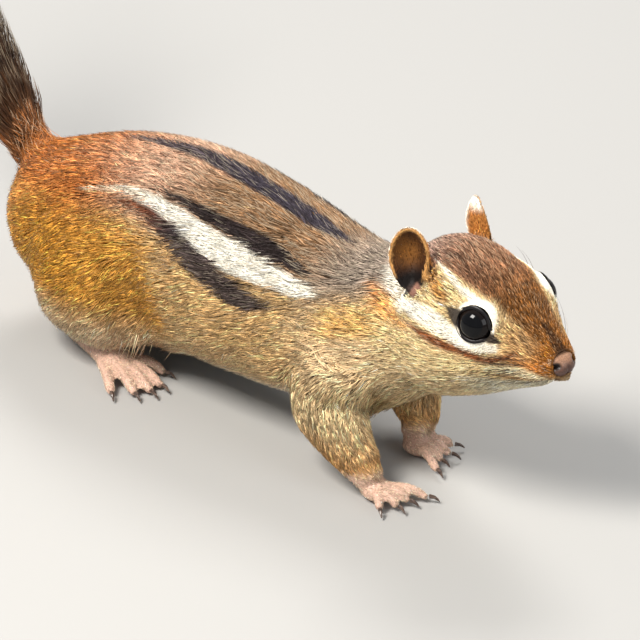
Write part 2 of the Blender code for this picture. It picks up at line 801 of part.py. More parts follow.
def build():
    for obj in list(bpy.data.objects):
        bpy.data.objects.remove(obj)

    skin = body_skin()
    stand_flat(skin)
    thinned(skin, SKIN_TRIANGLES)
    pieces = eyes_and_nose(skin)
    for side in (1, -1):
        pieces.update(leg_pieces(skin, side))
    for side in (1, -1):
        cup = ear(side)
        boolean(cup, grown(skin, "head_grown"), "DIFFERENCE")
        pieces[cup.name] = cup
    pieces["tail"] = bushy_tail()
    boolean(pieces["tail"], grown(skin, "rump_grown"), "DIFFERENCE", "MANIFOLD")
    for name, point, normal in CUTS:
        pieces[name] = halved(skin, name, point, normal, True)
        rest = halved(skin, "rest", point, normal, False)
        drop(skin)
        skin = rest
    pieces["rump"] = skin

    for name, obj in pieces.items():
        obj.name = name
        if name != "tail":
            thinned(obj, next(count for part, count in BUDGET.items() if part in name))
        painted(obj, look_of(name))
        put_in(obj, "eastern_chipmunk")
    stand_in_frame(list(pieces.values()))
    for name in ("forms", "cutters"):
        bpy.data.collections.remove(collection(name))


build()
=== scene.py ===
# %% [markdown]
# # An eastern chipmunk at life size
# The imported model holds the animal's solids, out to the tips of its coat. This lesson
# dresses them: one skin is wrapped round the solids and drawn in by the depth of the
# coat, then thousands of small mesh tufts are laid over it the way the hair lies.
# The eyes, nose, ears, whiskers and claws are finished one by one.

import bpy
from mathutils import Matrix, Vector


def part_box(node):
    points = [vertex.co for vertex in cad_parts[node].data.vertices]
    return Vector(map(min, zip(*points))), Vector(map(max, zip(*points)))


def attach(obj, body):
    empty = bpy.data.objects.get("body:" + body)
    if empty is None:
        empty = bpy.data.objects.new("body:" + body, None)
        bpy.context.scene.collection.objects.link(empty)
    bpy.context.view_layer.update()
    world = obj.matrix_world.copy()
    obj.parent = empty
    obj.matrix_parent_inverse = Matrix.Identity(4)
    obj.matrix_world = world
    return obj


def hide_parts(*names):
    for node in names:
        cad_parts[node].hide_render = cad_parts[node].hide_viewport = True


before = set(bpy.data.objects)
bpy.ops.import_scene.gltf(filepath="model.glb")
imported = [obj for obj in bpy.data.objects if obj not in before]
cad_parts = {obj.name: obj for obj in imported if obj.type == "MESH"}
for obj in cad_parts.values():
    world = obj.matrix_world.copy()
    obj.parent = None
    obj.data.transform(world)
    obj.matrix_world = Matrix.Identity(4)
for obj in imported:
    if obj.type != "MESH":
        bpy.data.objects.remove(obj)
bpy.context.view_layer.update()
print("nodes in the frame:", len(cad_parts))

# %% [markdown]
# ## Measures
# An animal is easiest to describe in millimetres from a fixed point on it. Here that
# point is on the floor under the shoulders, 62.4 mm behind the tip of the nose. X runs
# to the nose, Y to the animal's left and Z up. One function turns such places into
# the scene's metres, so no piece has to be fitted afterwards.

# %% Measures and small helpers
import math
from types import SimpleNamespace

import bpy
import numpy as np
from mathutils import Vector
from mathutils.bvhtree import BVHTree

MM = 0.001
NOSE_AHEAD = 62.4
shoulders = np.array([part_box("nose")[1].x - NOSE_AHEAD * MM, 0, 0])


def to_scene(points):
    """Places in millimetres from the shoulders, as metres in the scene."""
    return np.asarray(points, float) * MM + shoulders


def read_rows(items, what, width=3, kind=np.float32):
    """One property of all of a mesh's points, corners or triangles, with a row for each."""
    flat = np.empty(len(items) * width, kind)
    items.foreach_get(what, flat)
    return flat.reshape(-1, width)


def mesh_places(mesh):
    """A mesh's points in millimetres from the shoulders."""
    return (read_rows(mesh.vertices, "co").astype(float) - shoulders) / MM


def move_mesh(mesh, places):
    """Puts a mesh's points at places in millimetres from the shoulders."""
    mesh.vertices.foreach_set("co", to_scene(places).astype(np.float32).ravel())
    mesh.update()


def unit(vectors):
    vectors = np.asarray(vectors, float)
    return vectors / np.maximum(np.linalg.norm(vectors, axis=-1, keepdims=True), 1e-9)


def ramp(value, low, high):
    """0 at low and 1 at high, with a smooth step between. High may be the smaller of the two."""
    share = np.clip((value - low) / (high - low), 0, 1)
    return share * share * (3 - 2 * share)


def mix(first, second, share):
    """From first to second. Rows of three numbers are mixed with one share a row."""
    share = np.asarray(share, float)
    if share.ndim and 3 in np.shape(first)[-1:] + np.shape(second)[-1:]:
        share = share[..., None]
    return first * (1 - share) + second * share


def add_object(name, data):
    """Puts a mesh, a lamp or a camera in the scene."""
    obj = bpy.data.objects.new(name, data)
    bpy.context.scene.collection.objects.link(obj)
    return obj


def layered(value, *layers):
    """Lays new values over a value one after another, each with the share it takes."""
    for new, share in layers:
        value = mix(value, new, share)
    return value


def only(obj):
    """Selects one object alone and makes it the active one."""
    bpy.ops.object.select_all(action="DESELECT")
    obj.select_set(True)
    bpy.context.view_layer.objects.active = obj


def on_all_faces(obj, operator, **settings):
    """Runs an Edit Mode operator on all faces of an object."""
    only(obj)
    bpy.ops.object.mode_set(mode="EDIT")
    bpy.ops.mesh.select_all(action="SELECT")
    operator(**settings)
    bpy.ops.object.mode_set(mode="OBJECT")


def face_outwards(obj):
    on_all_faces(obj, bpy.ops.mesh.normals_make_consistent, inside=False)


def apply_all(obj):
    """Applies the object's modifiers in order."""
    only(obj)
    for modifier in list(obj.modifiers):
        bpy.ops.object.modifier_apply(modifier=modifier.name)


def set_inputs(node, values):
    for name, value in values.items():
        node.inputs[name].default_value = value


def plain_material(name, values):
    """A new material with its node tree and its Principled shader."""
    material = bpy.data.materials.new(name)
    material.use_nodes = True
    shader = material.node_tree.nodes["Principled BSDF"]
    set_inputs(shader, values)
    return material, material.node_tree, shader


print("shoulders at x =", round(shoulders[0] * 1000, 2), "mm")

# %% [markdown]
# ## Camera, floor and light
# The photograph looks at the animal from its right front and from above, through a
# long lens, so it shows hardly any perspective. A camera 1.5 m away with a long focal
# length gives the same view. The floor is plain and pale. Three large soft lamps
# stand for a studio: a warm key from above at the camera's left, a weaker fill and a
# light from behind that draws the edge of the coat.

# %% Camera, floor and light
CAMERA_AZIMUTH = math.radians(45)
CAMERA_HEIGHT = math.radians(28)
CAMERA_DISTANCE = 1500
CAMERA_TARGET = (-4.55, 0.0, 21.99)
SENSOR = 36
PIXELS_PER_MM = 5.10
PICTURE_WIDTH = 640
FLOOR_SIZE = 6  # metres


def sphere_place(centre, azimuth, height, distance):
    """A place round a centre, azimuth 0 being on the animal's right side."""
    back = (math.sin(azimuth) * math.cos(height), -math.cos(azimuth) * math.cos(height), math.sin(height))
    return np.array(centre) + np.array(back) * distance


def aim(obj, place, target):
    """Puts an object at a place and points its -Z at a target."""
    obj.location = Vector(to_scene(place))
    away = Vector(to_scene(place)) - Vector(to_scene(target))
    obj.rotation_euler = away.to_track_quat("Z", "Y").to_euler()


lens = bpy.data.cameras.new("photo_camera")
lens.sensor_width = SENSOR
lens.lens = SENSOR * PIXELS_PER_MM * CAMERA_DISTANCE / PICTURE_WIDTH
lens.clip_start = 0.05
camera = add_object("photo_camera", lens)
aim(camera, sphere_place(CAMERA_TARGET, CAMERA_AZIMUTH, CAMERA_HEIGHT, CAMERA_DISTANCE), CAMERA_TARGET)
bpy.context.scene.camera = camera


def soft_lamp(name, azimuth, height, distance, size, power, colour):
    """A square area lamp that looks at the animal. Sizes and distances are in mm."""
    lamp = bpy.data.lights.new(name, "AREA")
    lamp.size = size * MM
    lamp.energy = power
    lamp.color = colour
    spot = sphere_place(CAMERA_TARGET, math.radians(azimuth), math.radians(height), distance)
    aim(add_object(name, lamp), spot, CAMERA_TARGET)


soft_lamp("key_lamp", -8, 55, 700, 260, 8.4, (1.0, 0.96, 0.90))
soft_lamp("fill_lamp", 95, 25, 900, 500, 2.6, (0.94, 0.97, 1.0))
soft_lamp("edge_lamp", 215, 45, 800, 300, 5.0, (1.0, 0.98, 0.95))

world = bpy.data.worlds.new("studio")
bpy.context.scene.world = world
world.use_nodes = True
set_inputs(world.node_tree.nodes["Background"], {"Color": (0.80, 0.82, 0.85, 1), "Strength": 0.55})
bpy.context.scene.view_settings.view_transform = "Standard"

bpy.ops.object.select_all(action="DESELECT")
bpy.ops.mesh.primitive_plane_add(size=FLOOR_SIZE)
floor = bpy.context.object
floor.name = "floor"
paint = plain_material("floor_paint", {"Base Color": (0.35, 0.345, 0.335, 1), "Roughness": 0.8})
floor.data.materials.append(paint[0])
print("lens of", round(lens.lens), "mm")

# %% [markdown]
# ## Where things are
# The eyes, ears and limbs give the landmarks for everything that follows: how long the
# hair is, which way it lies and what colour it has. Some are sizes, named here. For the
# rest it is enough to know how far a point is from one of the animal's solids.

# %% Landmarks
EYE = np.array([45.9, -7.7, 43.4])
EYE_RADIUS = 4.0
EYE_FACING = unit([0.30, -0.92, 0.25])
NOSE = np.array([62.4, 0.0, 37.0])
EAR_ROOT = np.array([30.5, -11.4, 46.9])
EAR_OPENS = unit([0.45, -0.86, 0.22])
EAR_UP = unit([0.0, -0.08, 1.0])
EAR_HEIGHT = 12.6
TAIL_ROOT = np.array([-83.5, 0.0, 29.5])
TAIL_LENGTH = 96.0
TAIL_CLIMB = (40, 46, 51, 54, 52, 46)
BACK_LINE = ((-85, 32), (-75, 37.5), (-62, 42.8), (-48, 46.5), (-36, 48), (-14, 46.2), (5, 43.2),
             (22, 47.4), (33, 55), (45, 52), (54, 45.5), (62, 38))
BELLY_LINE = ((-85, 16), (-75, 7.5), (-62, 4.8), (-25, 5.4), (5, 8.4), (22, 14.2), (33, 20.4),
              (45, 25.2), (57, 31.5), (62, 34))
FEET = ("forepaw_left", "forepaw_right", "hind_foot_left", "hind_foot_right")
FORELEGS = ("foreleg_left", "foreleg_right")
HIND_LEGS = ("hind_leg_left", "hind_leg_right")
EARS = ("ear_left", "ear_right")
MIRRORED = (1, -1, 1)


def surface_tree(*meshes):
    """A search tree over the surfaces of some meshes."""
    places, faces = [], []
    for mesh in meshes:
        start = len(places)
        places.extend(mesh_places(mesh).tolist())
        faces.extend([[start + v for v in face.vertices] for face in mesh.polygons])
    return BVHTree.FromPolygons(places, faces)


def distance_to(tree, places):
    return np.array([tree.find_nearest(place)[3] for place in places.tolist()])


feet_tree, foreleg_tree, hind_leg_tree, ear_tree = (
    surface_tree(*(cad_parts[name].data for name in names)) for names in (FEET, FORELEGS, HIND_LEGS, EARS))


def on_right(places):
    """The same places moved to the animal's right side, where y is negative."""
    folded = np.array(places, float)
    folded[:, 1] = -np.abs(folded[:, 1])
    return folded


def folded_ways(ways, places):
    """Directions at places on the left side, mirrored as the places are."""
    folded = np.array(ways, float)
    folded[:, 1] *= np.where(places[:, 1] > 0, -1, 1)
    return folded


def height_share(places):
    """How high a point is on the body, from 0 at the belly to 1 on the back."""
    low = np.interp(places[:, 0], *zip(*BELLY_LINE))
    high = np.interp(places[:, 0], *zip(*BACK_LINE))
    return (places[:, 2] - low) / (high - low)


def survey(places):
    """What each point is near: shares from 0 to 1 and distances in mm, by name."""
    x, z = places[:, 0], places[:, 2]
    ear_gap = distance_to(ear_tree, places)
    return SimpleNamespace(
        x=x, z=z, up=height_share(places), head=ramp(x, 16, 34), muzzle=ramp(x, 46, 59),
        feet=ramp(distance_to(feet_tree, places), 3.0, 0.7),
        foreleg=ramp(distance_to(foreleg_tree, places), 5.0, 1.0),
        hind_leg=ramp(distance_to(hind_leg_tree, places), 6.0, 1.0),
        ear_gap=ear_gap, ear=ramp(ear_gap, 1.2, 0.5), eye=np.linalg.norm(on_right(places) - EYE, axis=1))


print("landmarks are set")

# %% [markdown]
# ## The tail's flesh
# Under its long hair a chipmunk's tail is a thin tapering rod. It could be a curve with
# a bevel, but here rings along a climbing path are joined by faces, because the same
# path later tells each long hair where to start and which way to lean.

# %% Tail path and tail rod
TAIL_STEPS = 400
TAIL_ROD = ((0.0, 5.2), (0.07, 3.6), (0.16, 2.7), (0.5, 2.3), (0.8, 1.7), (0.9, 0.9))


def curve_through(values, shares):
    """A smooth curve through evenly spaced values, read at shares from 0 to 1."""
    values = np.array(values, float)
    padded = np.concatenate([[2 * values[0] - values[1]], values, [2 * values[-1] - values[-2]]])
    place = np.asarray(shares) * (len(values) - 1)
    start = np.minimum(place.astype(int), len(values) - 2)
    f = place - start
    a, b, c, d = (padded[start + k] for k in range(4))
    return 0.5 * (2 * b + (c - a) * f + (2 * a - 5 * b + 4 * c - d) * f**2 + (3 * b - a - 3 * c + d) * f**3)


climb = np.radians(curve_through(TAIL_CLIMB, np.linspace(0, 1, TAIL_STEPS + 1)))
tail_ahead = np.stack([-np.cos(climb), np.zeros_like(climb), np.sin(climb)], axis=1)
tail_spots = TAIL_ROOT + np.vstack([np.zeros(3), np.cumsum(tail_ahead[:-1], axis=0)]) * TAIL_LENGTH / TAIL_STEPS
tail_upper = np.cross([0, 1, 0], tail_ahead)


def mesh_object(name, places, faces):
    """An object from places in millimetres and faces."""
    mesh = bpy.data.meshes.new(name)
    mesh.from_pydata(to_scene(places).tolist(), [], faces)
    return add_object(name, mesh)


def tube_faces(rings, sides, start=0):
    """The faces of a tube with closed ends, whose points are numbered ring by ring."""
    faces = [tuple(range(first, first + sides)) for first in (start, start + (rings - 1) * sides)]
    for i in range(start, start + (rings - 1) * sides, sides):
        for k in range(sides):
            n = (k + 1) % sides
            faces.append((i + k, i + n, i + sides + n, i + sides + k))
    return faces


def tail_rod(sides=16, count=40):
    rings = []
    for share in np.linspace(0, TAIL_ROD[-1][0], count):
        step = round(share * TAIL_STEPS)
        radius = np.interp(share, *zip(*TAIL_ROD))
        for turn in np.linspace(0, math.tau, sides, endpoint=False):
            out = np.array([0, math.cos(turn), 0]) + tail_upper[step] * math.sin(turn)
            rings.append(tail_spots[step] + out * radius)
    rod = mesh_object("tail_rod", rings, tube_faces(count, sides))
    face_outwards(rod)
    return rod


rod = tail_rod()
print("tail rod of", len(rod.data.polygons), "faces")

# %% [markdown]
# ## One skin over the whole animal
# The solids meet at thin gaps. Copies of them are swollen until the gaps close, joined
# and wrapped by a voxel remesh, which leaves one even surface with no seams. The skin
# is then drawn in along its normals: by what it was swollen, and by the depth of the
# coat at each place, which is deep on the back and next to nothing on nose and feet.

# %% Depth of the coat
SWELL = 0.27
BODY_DEPTH, CROWN_DEPTH, MUZZLE_DEPTH = 2.3, 1.3, 0.35


def coat_depth(near):
    leg = mix(0.3, 1.5, ramp(near.z, 4, 17))
    low = mix(0.5, BODY_DEPTH, ramp(near.z, 4.5, 14))
    depth = layered(BODY_DEPTH, (CROWN_DEPTH, near.head), (MUZZLE_DEPTH, near.muzzle))
    depth = layered(0.25, (depth, ramp(near.eye, 4.6, 9.5)), (leg, near.foreleg * ramp(near.x, -2, 4)),
                    (low, near.hind_leg), (0.07, near.feet))
    return layered(0.06, (depth, ramp(near.x, -90, -85)), (0.06, near.ear))


print("coat depth on the back:", BODY_DEPTH, "mm")

# %% Skin
FLESH = ("head", "neck", "chest", "loins", "rump", *FEET, *FORELEGS, *HIND_LEGS, *EARS)
DOUBLED = 0.002  # mm, below which two points are one
SKIN_VOXEL = 0.42
SKIN_TRIANGLES = 188000


def flesh_copies():
    """Copies of the flesh nodes with their doubled points merged."""
    copies = []
    for name in FLESH:
        copy = add_object("flesh_" + name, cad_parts[name].data.copy())
        on_all_faces(copy, bpy.ops.mesh.remove_doubles, threshold=DOUBLED * MM)
        copies.append(copy)
    return copies


def wrapped_skin():
    pieces = [*flesh_copies(), rod]
    bpy.ops.object.select_all(action="DESELECT")
    for piece in pieces:
        piece.select_set(True)
    bpy.context.view_layer.objects.active = pieces[0]
    bpy.ops.object.join()
    skin = bpy.context.object
    skin.name = "skin"
    swell = skin.modifiers.new("Swell", "DISPLACE")
    swell.mid_level = 0
    swell.strength = SWELL * MM
    wrap = skin.modifiers.new("Wrap", "REMESH")
    wrap.mode = "VOXEL"
    wrap.voxel_size = SKIN_VOXEL * MM
    soften = skin.modifiers.new("Soften", "SMOOTH")
    soften.factor = 0.5
    soften.iterations = 4
    apply_all(skin)
    return skin


skin = wrapped_skin()
print("skin wrapped with", len(skin.data.polygons), "faces")

# %% Draw the skin in


def vertex_normals(mesh):
    return read_rows(mesh.vertices, "normal").astype(float)


places = mesh_places(skin.data)
near = survey(places)
draw_in = SWELL + coat_depth(near)
move_mesh(skin.data, places - vertex_normals(skin.data) * draw_in[:, None])
soften = skin.modifiers.new("Soften", "SMOOTH")
soften.factor = 0.4
soften.iterations = 2
apply_all(skin)
print("drawn in by", round(draw_in.min(), 2), "to", round(draw_in.max(), 2), "mm")

# %% [markdown]
# ## Mouth, ear notch and ear canal
# These are small folds in the skin. They could be cut with Booleans, but a fold has
# soft edges, so the skin's points near a line are pushed inwards by a smooth amount.

# %% Folds
MOUTH_LINE = ((61.3, 0, 34.4), (60.4, -2.2, 34.2), (58.3, -3.8, 33.6), (55.6, -5.3, 32.9), (53.0, -6.6, 33.0))
NOTCH_LINE = ((30.0, -9.6, 47.2), (30.1, -10.6, 46.1), (29.4, -10.3, 44.9), (28.3, -9.2, 43.9), (27.2, -8.3, 43.1),
              (26.5, -8.5, 41.9), (26.1, -8.8, 41.0))
FLAP = np.array([31.4, -10.4, 45.8])
CANAL = EAR_ROOT + np.array([0.5, -0.3, 1.4])
CHIN_BACK = 1.4


def line_distance(places, rows):
    """Distance from each place to a line of points, and the share along it."""
    rows = np.array(rows, float)
    best = np.full(len(places), 1e9)
    along = np.zeros(len(places))
    for i in range(len(rows) - 1):
        start, step = rows[i], rows[i + 1] - rows[i]
        share = np.clip(((places - start) @ step) / (step @ step), 0, 1)
        distance = np.linalg.norm(places - start - share[:, None] * step, axis=1)
        closer = distance < best
        best[closer] = distance[closer]
        along[closer] = (i + share[closer]) / (len(rows) - 1)
    return best, along


def fold(mesh, rows, width, depth):
    """Presses a furrow into the skin along a line on each side of the animal."""
    places = mesh_places(mesh)
    distance, along = line_distance(on_right(places), rows)
    push = depth * np.exp(-(distance / width) ** 2) * (1 - ramp(along, 0.85, 1.0) * 0.6)
    move_mesh(mesh, places - vertex_normals(mesh) * push[:, None])


def on_skin(rows):
    """A line whose places are moved to the nearest place on the skin."""
    tree = surface_tree(skin.data)
    return np.array([tree.find_nearest(row)[0] for row in rows])


def notch_distance(places):
    """Distance to the slit below the ear's cup, and to the bare flap in front of it."""
    right = on_right(places)
    distance, along = line_distance(right, NOTCH_LINE)
    narrowed = distance / np.interp(along, (0.6, 1.0), (1.0, 0.6))
    return narrowed, np.linalg.norm(right - FLAP, axis=1)


def mouth_distance(places):
    """Distance to the line of the mouth as it is seen from the side."""
    return line_distance(places * (1, 0, 1), np.array(MOUTH_LINE) * (1, 0, 1))[0]


fold(skin.data, MOUTH_LINE, 0.5, 1.0)
NOTCH_LINE = on_skin(NOTCH_LINE)
fold(skin.data, NOTCH_LINE, 0.6, 0.5)
places = mesh_places(skin.data)
deep = np.exp(-(np.linalg.norm((on_right(places) - CANAL) / (1.7, 1.7, 2.2), axis=1)) ** 2)
inwards = np.stack([np.full(len(places), -0.35), -np.sign(places[:, 1]) * 0.9, np.full(len(places), -0.2)], axis=1)
places = places + inwards * (deep * 2.2)[:, None]
places[:, 0] -= CHIN_BACK * ramp(places[:, 0], 56.5, 60) * ramp(places[:, 2], 34.4, 33.4)
places[:, 2] = np.maximum(places[:, 2], 0)
move_mesh(skin.data, places)
print("folds pressed in")

# %% Thin and unwrap the skin
UNWRAP_ANGLE = math.radians(66)
ISLAND_MARGIN = 0.002
skin.data.calc_loop_triangles()
thin = skin.modifiers.new("Thin", "DECIMATE")
thin.ratio = min(1.0, SKIN_TRIANGLES / len(skin.data.loop_triangles))
thin.use_collapse_triangulate = True
apply_all(skin)
bpy.ops.object.shade_smooth()
on_all_faces(skin, bpy.ops.uv.smart_project, angle_limit=UNWRAP_ANGLE, island_margin=ISLAND_MARGIN)
skin.data.uv_layers.active.name = "OFBake"
print("skin of", len(skin.data.polygons), "triangles")

# %% [markdown]
# ## Markings
# A chipmunk is known by its stripes: one dark line down the spine, and on each side a
# pale band between two dark ones, with more pale and rusty bars on the face. Each bar
# is a line of a few places on the right side with its half width, and the left side
# mirrors it. One function gives the colour at any place, and skin and coat both use
# it, so they always agree. An image texture would need a picture to be painted first.

# %% Colours


def linear(red, green, blue):
    """A colour as mixed on a screen, from 0 to 255, as the linear numbers of a shader."""
    share = np.array([red, green, blue]) / 255
    return np.where(share <= 0.04045, share / 12.92, ((share + 0.055) / 1.055) ** 2.4)


RUST = linear(210, 130, 66)
# The rear of the rump is painted lighter than the rust: its own rust with a painted highlight where light falls.
REAR_RUST_LIT = linear(252, 172, 90)
TAIL_RUST = linear(78, 50, 30)
# The saddle's grizzled tan, painted lighter and pinker as a highlight towards the rear of the back.
SADDLE_AND_HIGHLIGHT = linear(216, 172, 144)
BROWN_BACK = linear(142, 108, 76)
THIGH = linear(218, 156, 60)
FLANK = linear(220, 180, 124)
LOW_FLANK = linear(226, 189, 140)
BELLY = linear(236, 216, 188)
SHOULDER = linear(224, 194, 152)
NECK_GOLD = linear(230, 178, 96)
NAPE = linear(162, 146, 132)
CHEEK = linear(232, 202, 150)
TEMPLE = linear(192, 136, 68)
THROAT = linear(230, 200, 154)
CHIN = linear(232, 220, 190)
LIP = linear(246, 224, 182)
NAPE_CROWN = linear(190, 158, 142)
CROWN = linear(134, 95, 70)
FOREHEAD = linear(120, 76, 32)
MUZZLE = linear(160, 100, 34)
CREAM = linear(254, 248, 234)
BLACK = linear(33, 31, 38)
# The spine's own black, with a blue tint that is painted sheen.
BLACK_WITH_BLUE_SHEEN = linear(44, 45, 60)
# The muzzle bridge's own brown, which also paints the shade where the fur meets the nose pad.
BRIDGE_BROWN_AND_SHADE = linear(62, 40, 26)
SLATE = linear(56, 51, 60)
DARK_RUST = linear(124, 58, 18)
ORANGE = linear(204, 130, 60)
NECK_ORANGE = linear(222, 144, 62)
WRIST_GOLD = linear(216, 164, 104)
STRIPE_CREAM = linear(242, 218, 190)
FOOT = linear(200, 164, 146)
FOOT_HAIR = linear(212, 188, 162)
# Painted shade inside the ear's cup: dark brown round the gold patch, and near black at the bottom of the cup and in
# the notch.
EAR_CUP_SHADE = linear(54, 29, 13)
EAR_DEEP_SHADE = linear(15, 8, 6)
EAR_GOLD = linear(128, 82, 34)
EAR_RIM = linear(184, 136, 80)
EAR_BACK = linear(166, 108, 52)
NOTCH_PINK = linear(128, 92, 78)
UNDERFUR = linear(92, 76, 64)
TAIL_FLESH = linear(84, 54, 34)
# Painted shade along the crease of the mouth.
MOUTH_SHADE = linear(60, 34, 26)

# %% Bars
SPINE = ((-60, 0, 43.3, 0.6), (-53, 0, 45.2, 1.2), (-45, 0, 46.8, 1.9), (-31, 0, 47.5, 2.6),
         (-19, 0, 46.6, 2.8), (-5, 0, 44.5, 2.5), (0, 0, 43.8, 1.9), (5, 0, 43.3, 0.7))
THIGH_EDGE = ((-33, -16.4, 37.2, 0.2), (-30.3, -18, 34, 0.6), (-29, -18.8, 32, 0.8), (-28, -19.8, 28, 0.8),
              (-28.3, -19.5, 23, 0.6), (-30.1, -18.8, 19.2, 0.2))
UPPER_BAR = ((-48, -11.5, 41.9, 0.25), (-42.4, -11.7, 42.5, 0.35), (-37.5, -11.6, 43.0, 0.7),
             (-31.1, -11.6, 42.9, 1.1), (-24.8, -11.5, 42.5, 1.5), (-18.4, -11.4, 41.8, 1.8),
             (-12.4, -11.1, 41.1, 2.3), (-7.3, -10.8, 40.4, 2.2), (-2.2, -10.7, 39.6, 1.5), (2.3, -11, 38.5, 0.5))
PALE_BAR = ((-58.5, -13.3, 36.4, 0.1), (-55, -13.6, 38.0, 0.55), (-48, -13.1, 40.4, 0.95),
            (-42.6, -13, 41.2, 1.25), (-36.7, -13.5, 41.2, 1.6), (-30.8, -13.9, 40.6, 1.8),
            (-25.1, -14.3, 39.6, 2.2), (-19.3, -14.7, 38.3, 2.9), (-14.2, -14.6, 37.6, 3.1),
            (-9.1, -14.3, 37.0, 2.8), (-4.3, -13.8, 36.7, 2.3), (0.5, -13.3, 36.3, 2.0), (5, -12.7, 36.4, 1.2))
LOWER_BAR = ((-50, -14.9, 38.3, 0.6), (-40, -14.9, 39.4, 1.3), (-34.7, -15.7, 38.3, 1.9),
             (-28.5, -16.5, 36.8, 2.5), (-23.4, -17.2, 34.9, 2.7), (-18.6, -17.6, 33.4, 2.5),
             (-13.8, -17.7, 32.0, 2.7), (-8.5, -17.6, 31.0, 2.3), (-3, -16.8, 31.8, 1.0))
BROW_BAR = ((32.5, -6.0, 51.4, 0.05), (34.5, -6.7, 51.3, 0.2), (37.3, -7.6, 50.7, 0.45), (41.7, -8.6, 49.5, 0.8),
            (45.5, -8.6, 48.8, 0.85), (48.7, -8.5, 46.9, 0.6), (50.9, -8.4, 44.7, 0.3))
TEMPLE_BAR = ((33.8, -8.8, 51.4, 1.2), (34.9, -9.1, 49, 1.5), (36.7, -10.2, 47.7, 1.3), (39.1, -10.8, 47.2, 0.8))
CHEEK_BAR = ((27, -11.6, 43.0, 1.2), (31, -12.0, 42.8, 1.5), (36.9, -12.9, 43.0, 2.0),
             (41.1, -12.8, 41.8, 1.9), (45.6, -11.9, 40.0, 1.3), (48.4, -10.7, 39.6, 1.1), (51, -9.3, 40.1, 0.9))
JAW_BAR = ((28, -12.4, 40.0, 0.05), (32.5, -13.2, 39.9, 0.35), (37.8, -13.7, 39.2, 1.0), (42.8, -12.9, 38.3, 1.1),
           (45.7, -11.9, 37.8, 0.95), (49.7, -10.0, 37.1, 0.75), (52.2, -8.6, 38.0, 0.55), (54.7, -6.8, 39.6, 0.35))
EYE_REAR = ((37.6, -11.2, 46.4, 0.05), (40.0, -11.6, 46.2, 0.65), (42.2, -11.8, 45.6, 1.3), (43.8, -11.4, 44.8, 1.8))
EYE_FRONT = ((48.8, -9.9, 42.9, 1.6), (50.4, -9.1, 42.0, 1.0), (52.0, -8.2, 41.2, 0.2))
LIP_BAR = ((50.0, -9.0, 35.4, 0.7), (53, -7.9, 35.6, 1.1), (55.5, -6.7, 35.4, 1.3), (57.8, -5.0, 34.8, 1.1),
           (59.2, -3.8, 34.6, 0.6))
MUZZLE_BAR = ((53.4, -7.9, 38.1, 0.7), (55.9, -6.5, 37.5, 1.1), (58.4, -5.0, 37.0, 1.0))
# The bridge is the muzzle's own darker line; its wide end over the nose pad is painted shade.
BRIDGE = ((55.0, 0, 44.1, 0.3), (58.2, 0, 41.8, 1.3), (60.4, 0, 40.1, 1.8), (61.6, 0, 39.0, 2.0))
EAR_PATCH = ((16.3, -7.6, 40.8, 0.6), (18.6, -9.0, 40.0, 1.5), (21.4, -9.8, 39.4, 2.0), (24.2, -10.8, 38.9, 1.7),
             (27.5, -12.0, 38.6, 0.9), (31, -13.0, 38.8, 0.4))
NAPE_PATCH = ((16.5, -3.6, 45.0, 0.4), (18.5, -5.0, 44.6, 1.4), (21.5, -7.4, 43.6, 2.1), (25.2, -9.6, 42.8, 1.8),
              (28, -11.2, 41.8, 1.4))
CROWN_EDGE = ((17, 42.0), (24, 46.0), (30, 49.6), (35, 51.4), (39.7, 50.6), (44.4, 49.4), (48, 48.2), (50.8, 46.2),
              (53, 44.6), (55.9, 42.2), (58.4, 40.8), (62, 39.2))


def bar_share(places, rows, edge):
    """1 inside a bar, 0 outside and a soft edge between."""
    distance, along = line_distance(places, [row[:3] for row in rows])
    half_width = np.interp(along, np.linspace(0, 1, len(rows)), [row[3] for row in rows])
    return ramp(distance - half_width, edge, -edge)


print("spine and bars set, the longest with", len(PALE_BAR), "places")

# %% One colour function for skin and coat
FULL = 0.93  # how much a full marking covers what is below it


def body_colours(near):
    x, up = near.x, near.up
    # Towards the rear the saddle carries a painted highlight over the back's own tan and brown.
    saddle = mix(SADDLE_AND_HIGHLIGHT, BROWN_BACK, ramp(x, -46, -22))
    # The rump's rust is its own colour; its lighter rear and top are painted highlight.
    rust = layered(
        THIGH, (RUST, ramp(up, 0.45, 0.75)), (REAR_RUST_LIT, ramp(x, -62, -76) * ramp(up, 0.9, 0.7)),
        (SADDLE_AND_HIGHLIGHT, 0.5 * ramp(up, 0.86, 0.97) * ramp(x, -76, -52)))
    front = layered(
        THROAT, (SHOULDER, ramp(up, 0.15, 0.45)), (NECK_GOLD, ramp(up, 0.5, 0.62) * ramp(x, 5, 12) * 0.75),
        (NAPE, ramp(up, 0.66, 0.86)))
    return layered(
        BELLY, (LOW_FLANK, ramp(up, 0.02, 0.2)), (FLANK, ramp(up, 0.16, 0.42)), (saddle, ramp(up, 0.68, 0.8)),
        (rust, ramp(x, -40, -62)), (THIGH, 0.85 * near.hind_leg * ramp(up, 0.85, 0.6)),
        (BELLY, near.hind_leg * ramp(near.z, 19, 7) * 0.75), (mix(RUST, TAIL_RUST, 0.8), ramp(x, -81, -87)),
        (front, ramp(x, -4, 12)))


def head_colours(near):
    x, z = near.x, near.z
    crown = layered(NAPE_CROWN, (CROWN, ramp(x, 24, 38)), (FOREHEAD, ramp(x, 40, 52)))
    return layered(
        THROAT, (CHEEK, ramp(z, 27, 34)), (mix(CHEEK, MUZZLE, 0.6), ramp(x, 49, 54)),
        (crown, ramp(z - np.interp(x, *zip(*CROWN_EDGE)), -0.5, 0.5)),
        (MUZZLE, ramp(x, 55, 59) * ramp(z, 34.5, 36.5)),
        (CHIN, ramp(x, 40, 50) * ramp(z - np.interp(x, (50, 62), (33.2, 34.6)), 0.2, -1.2)))


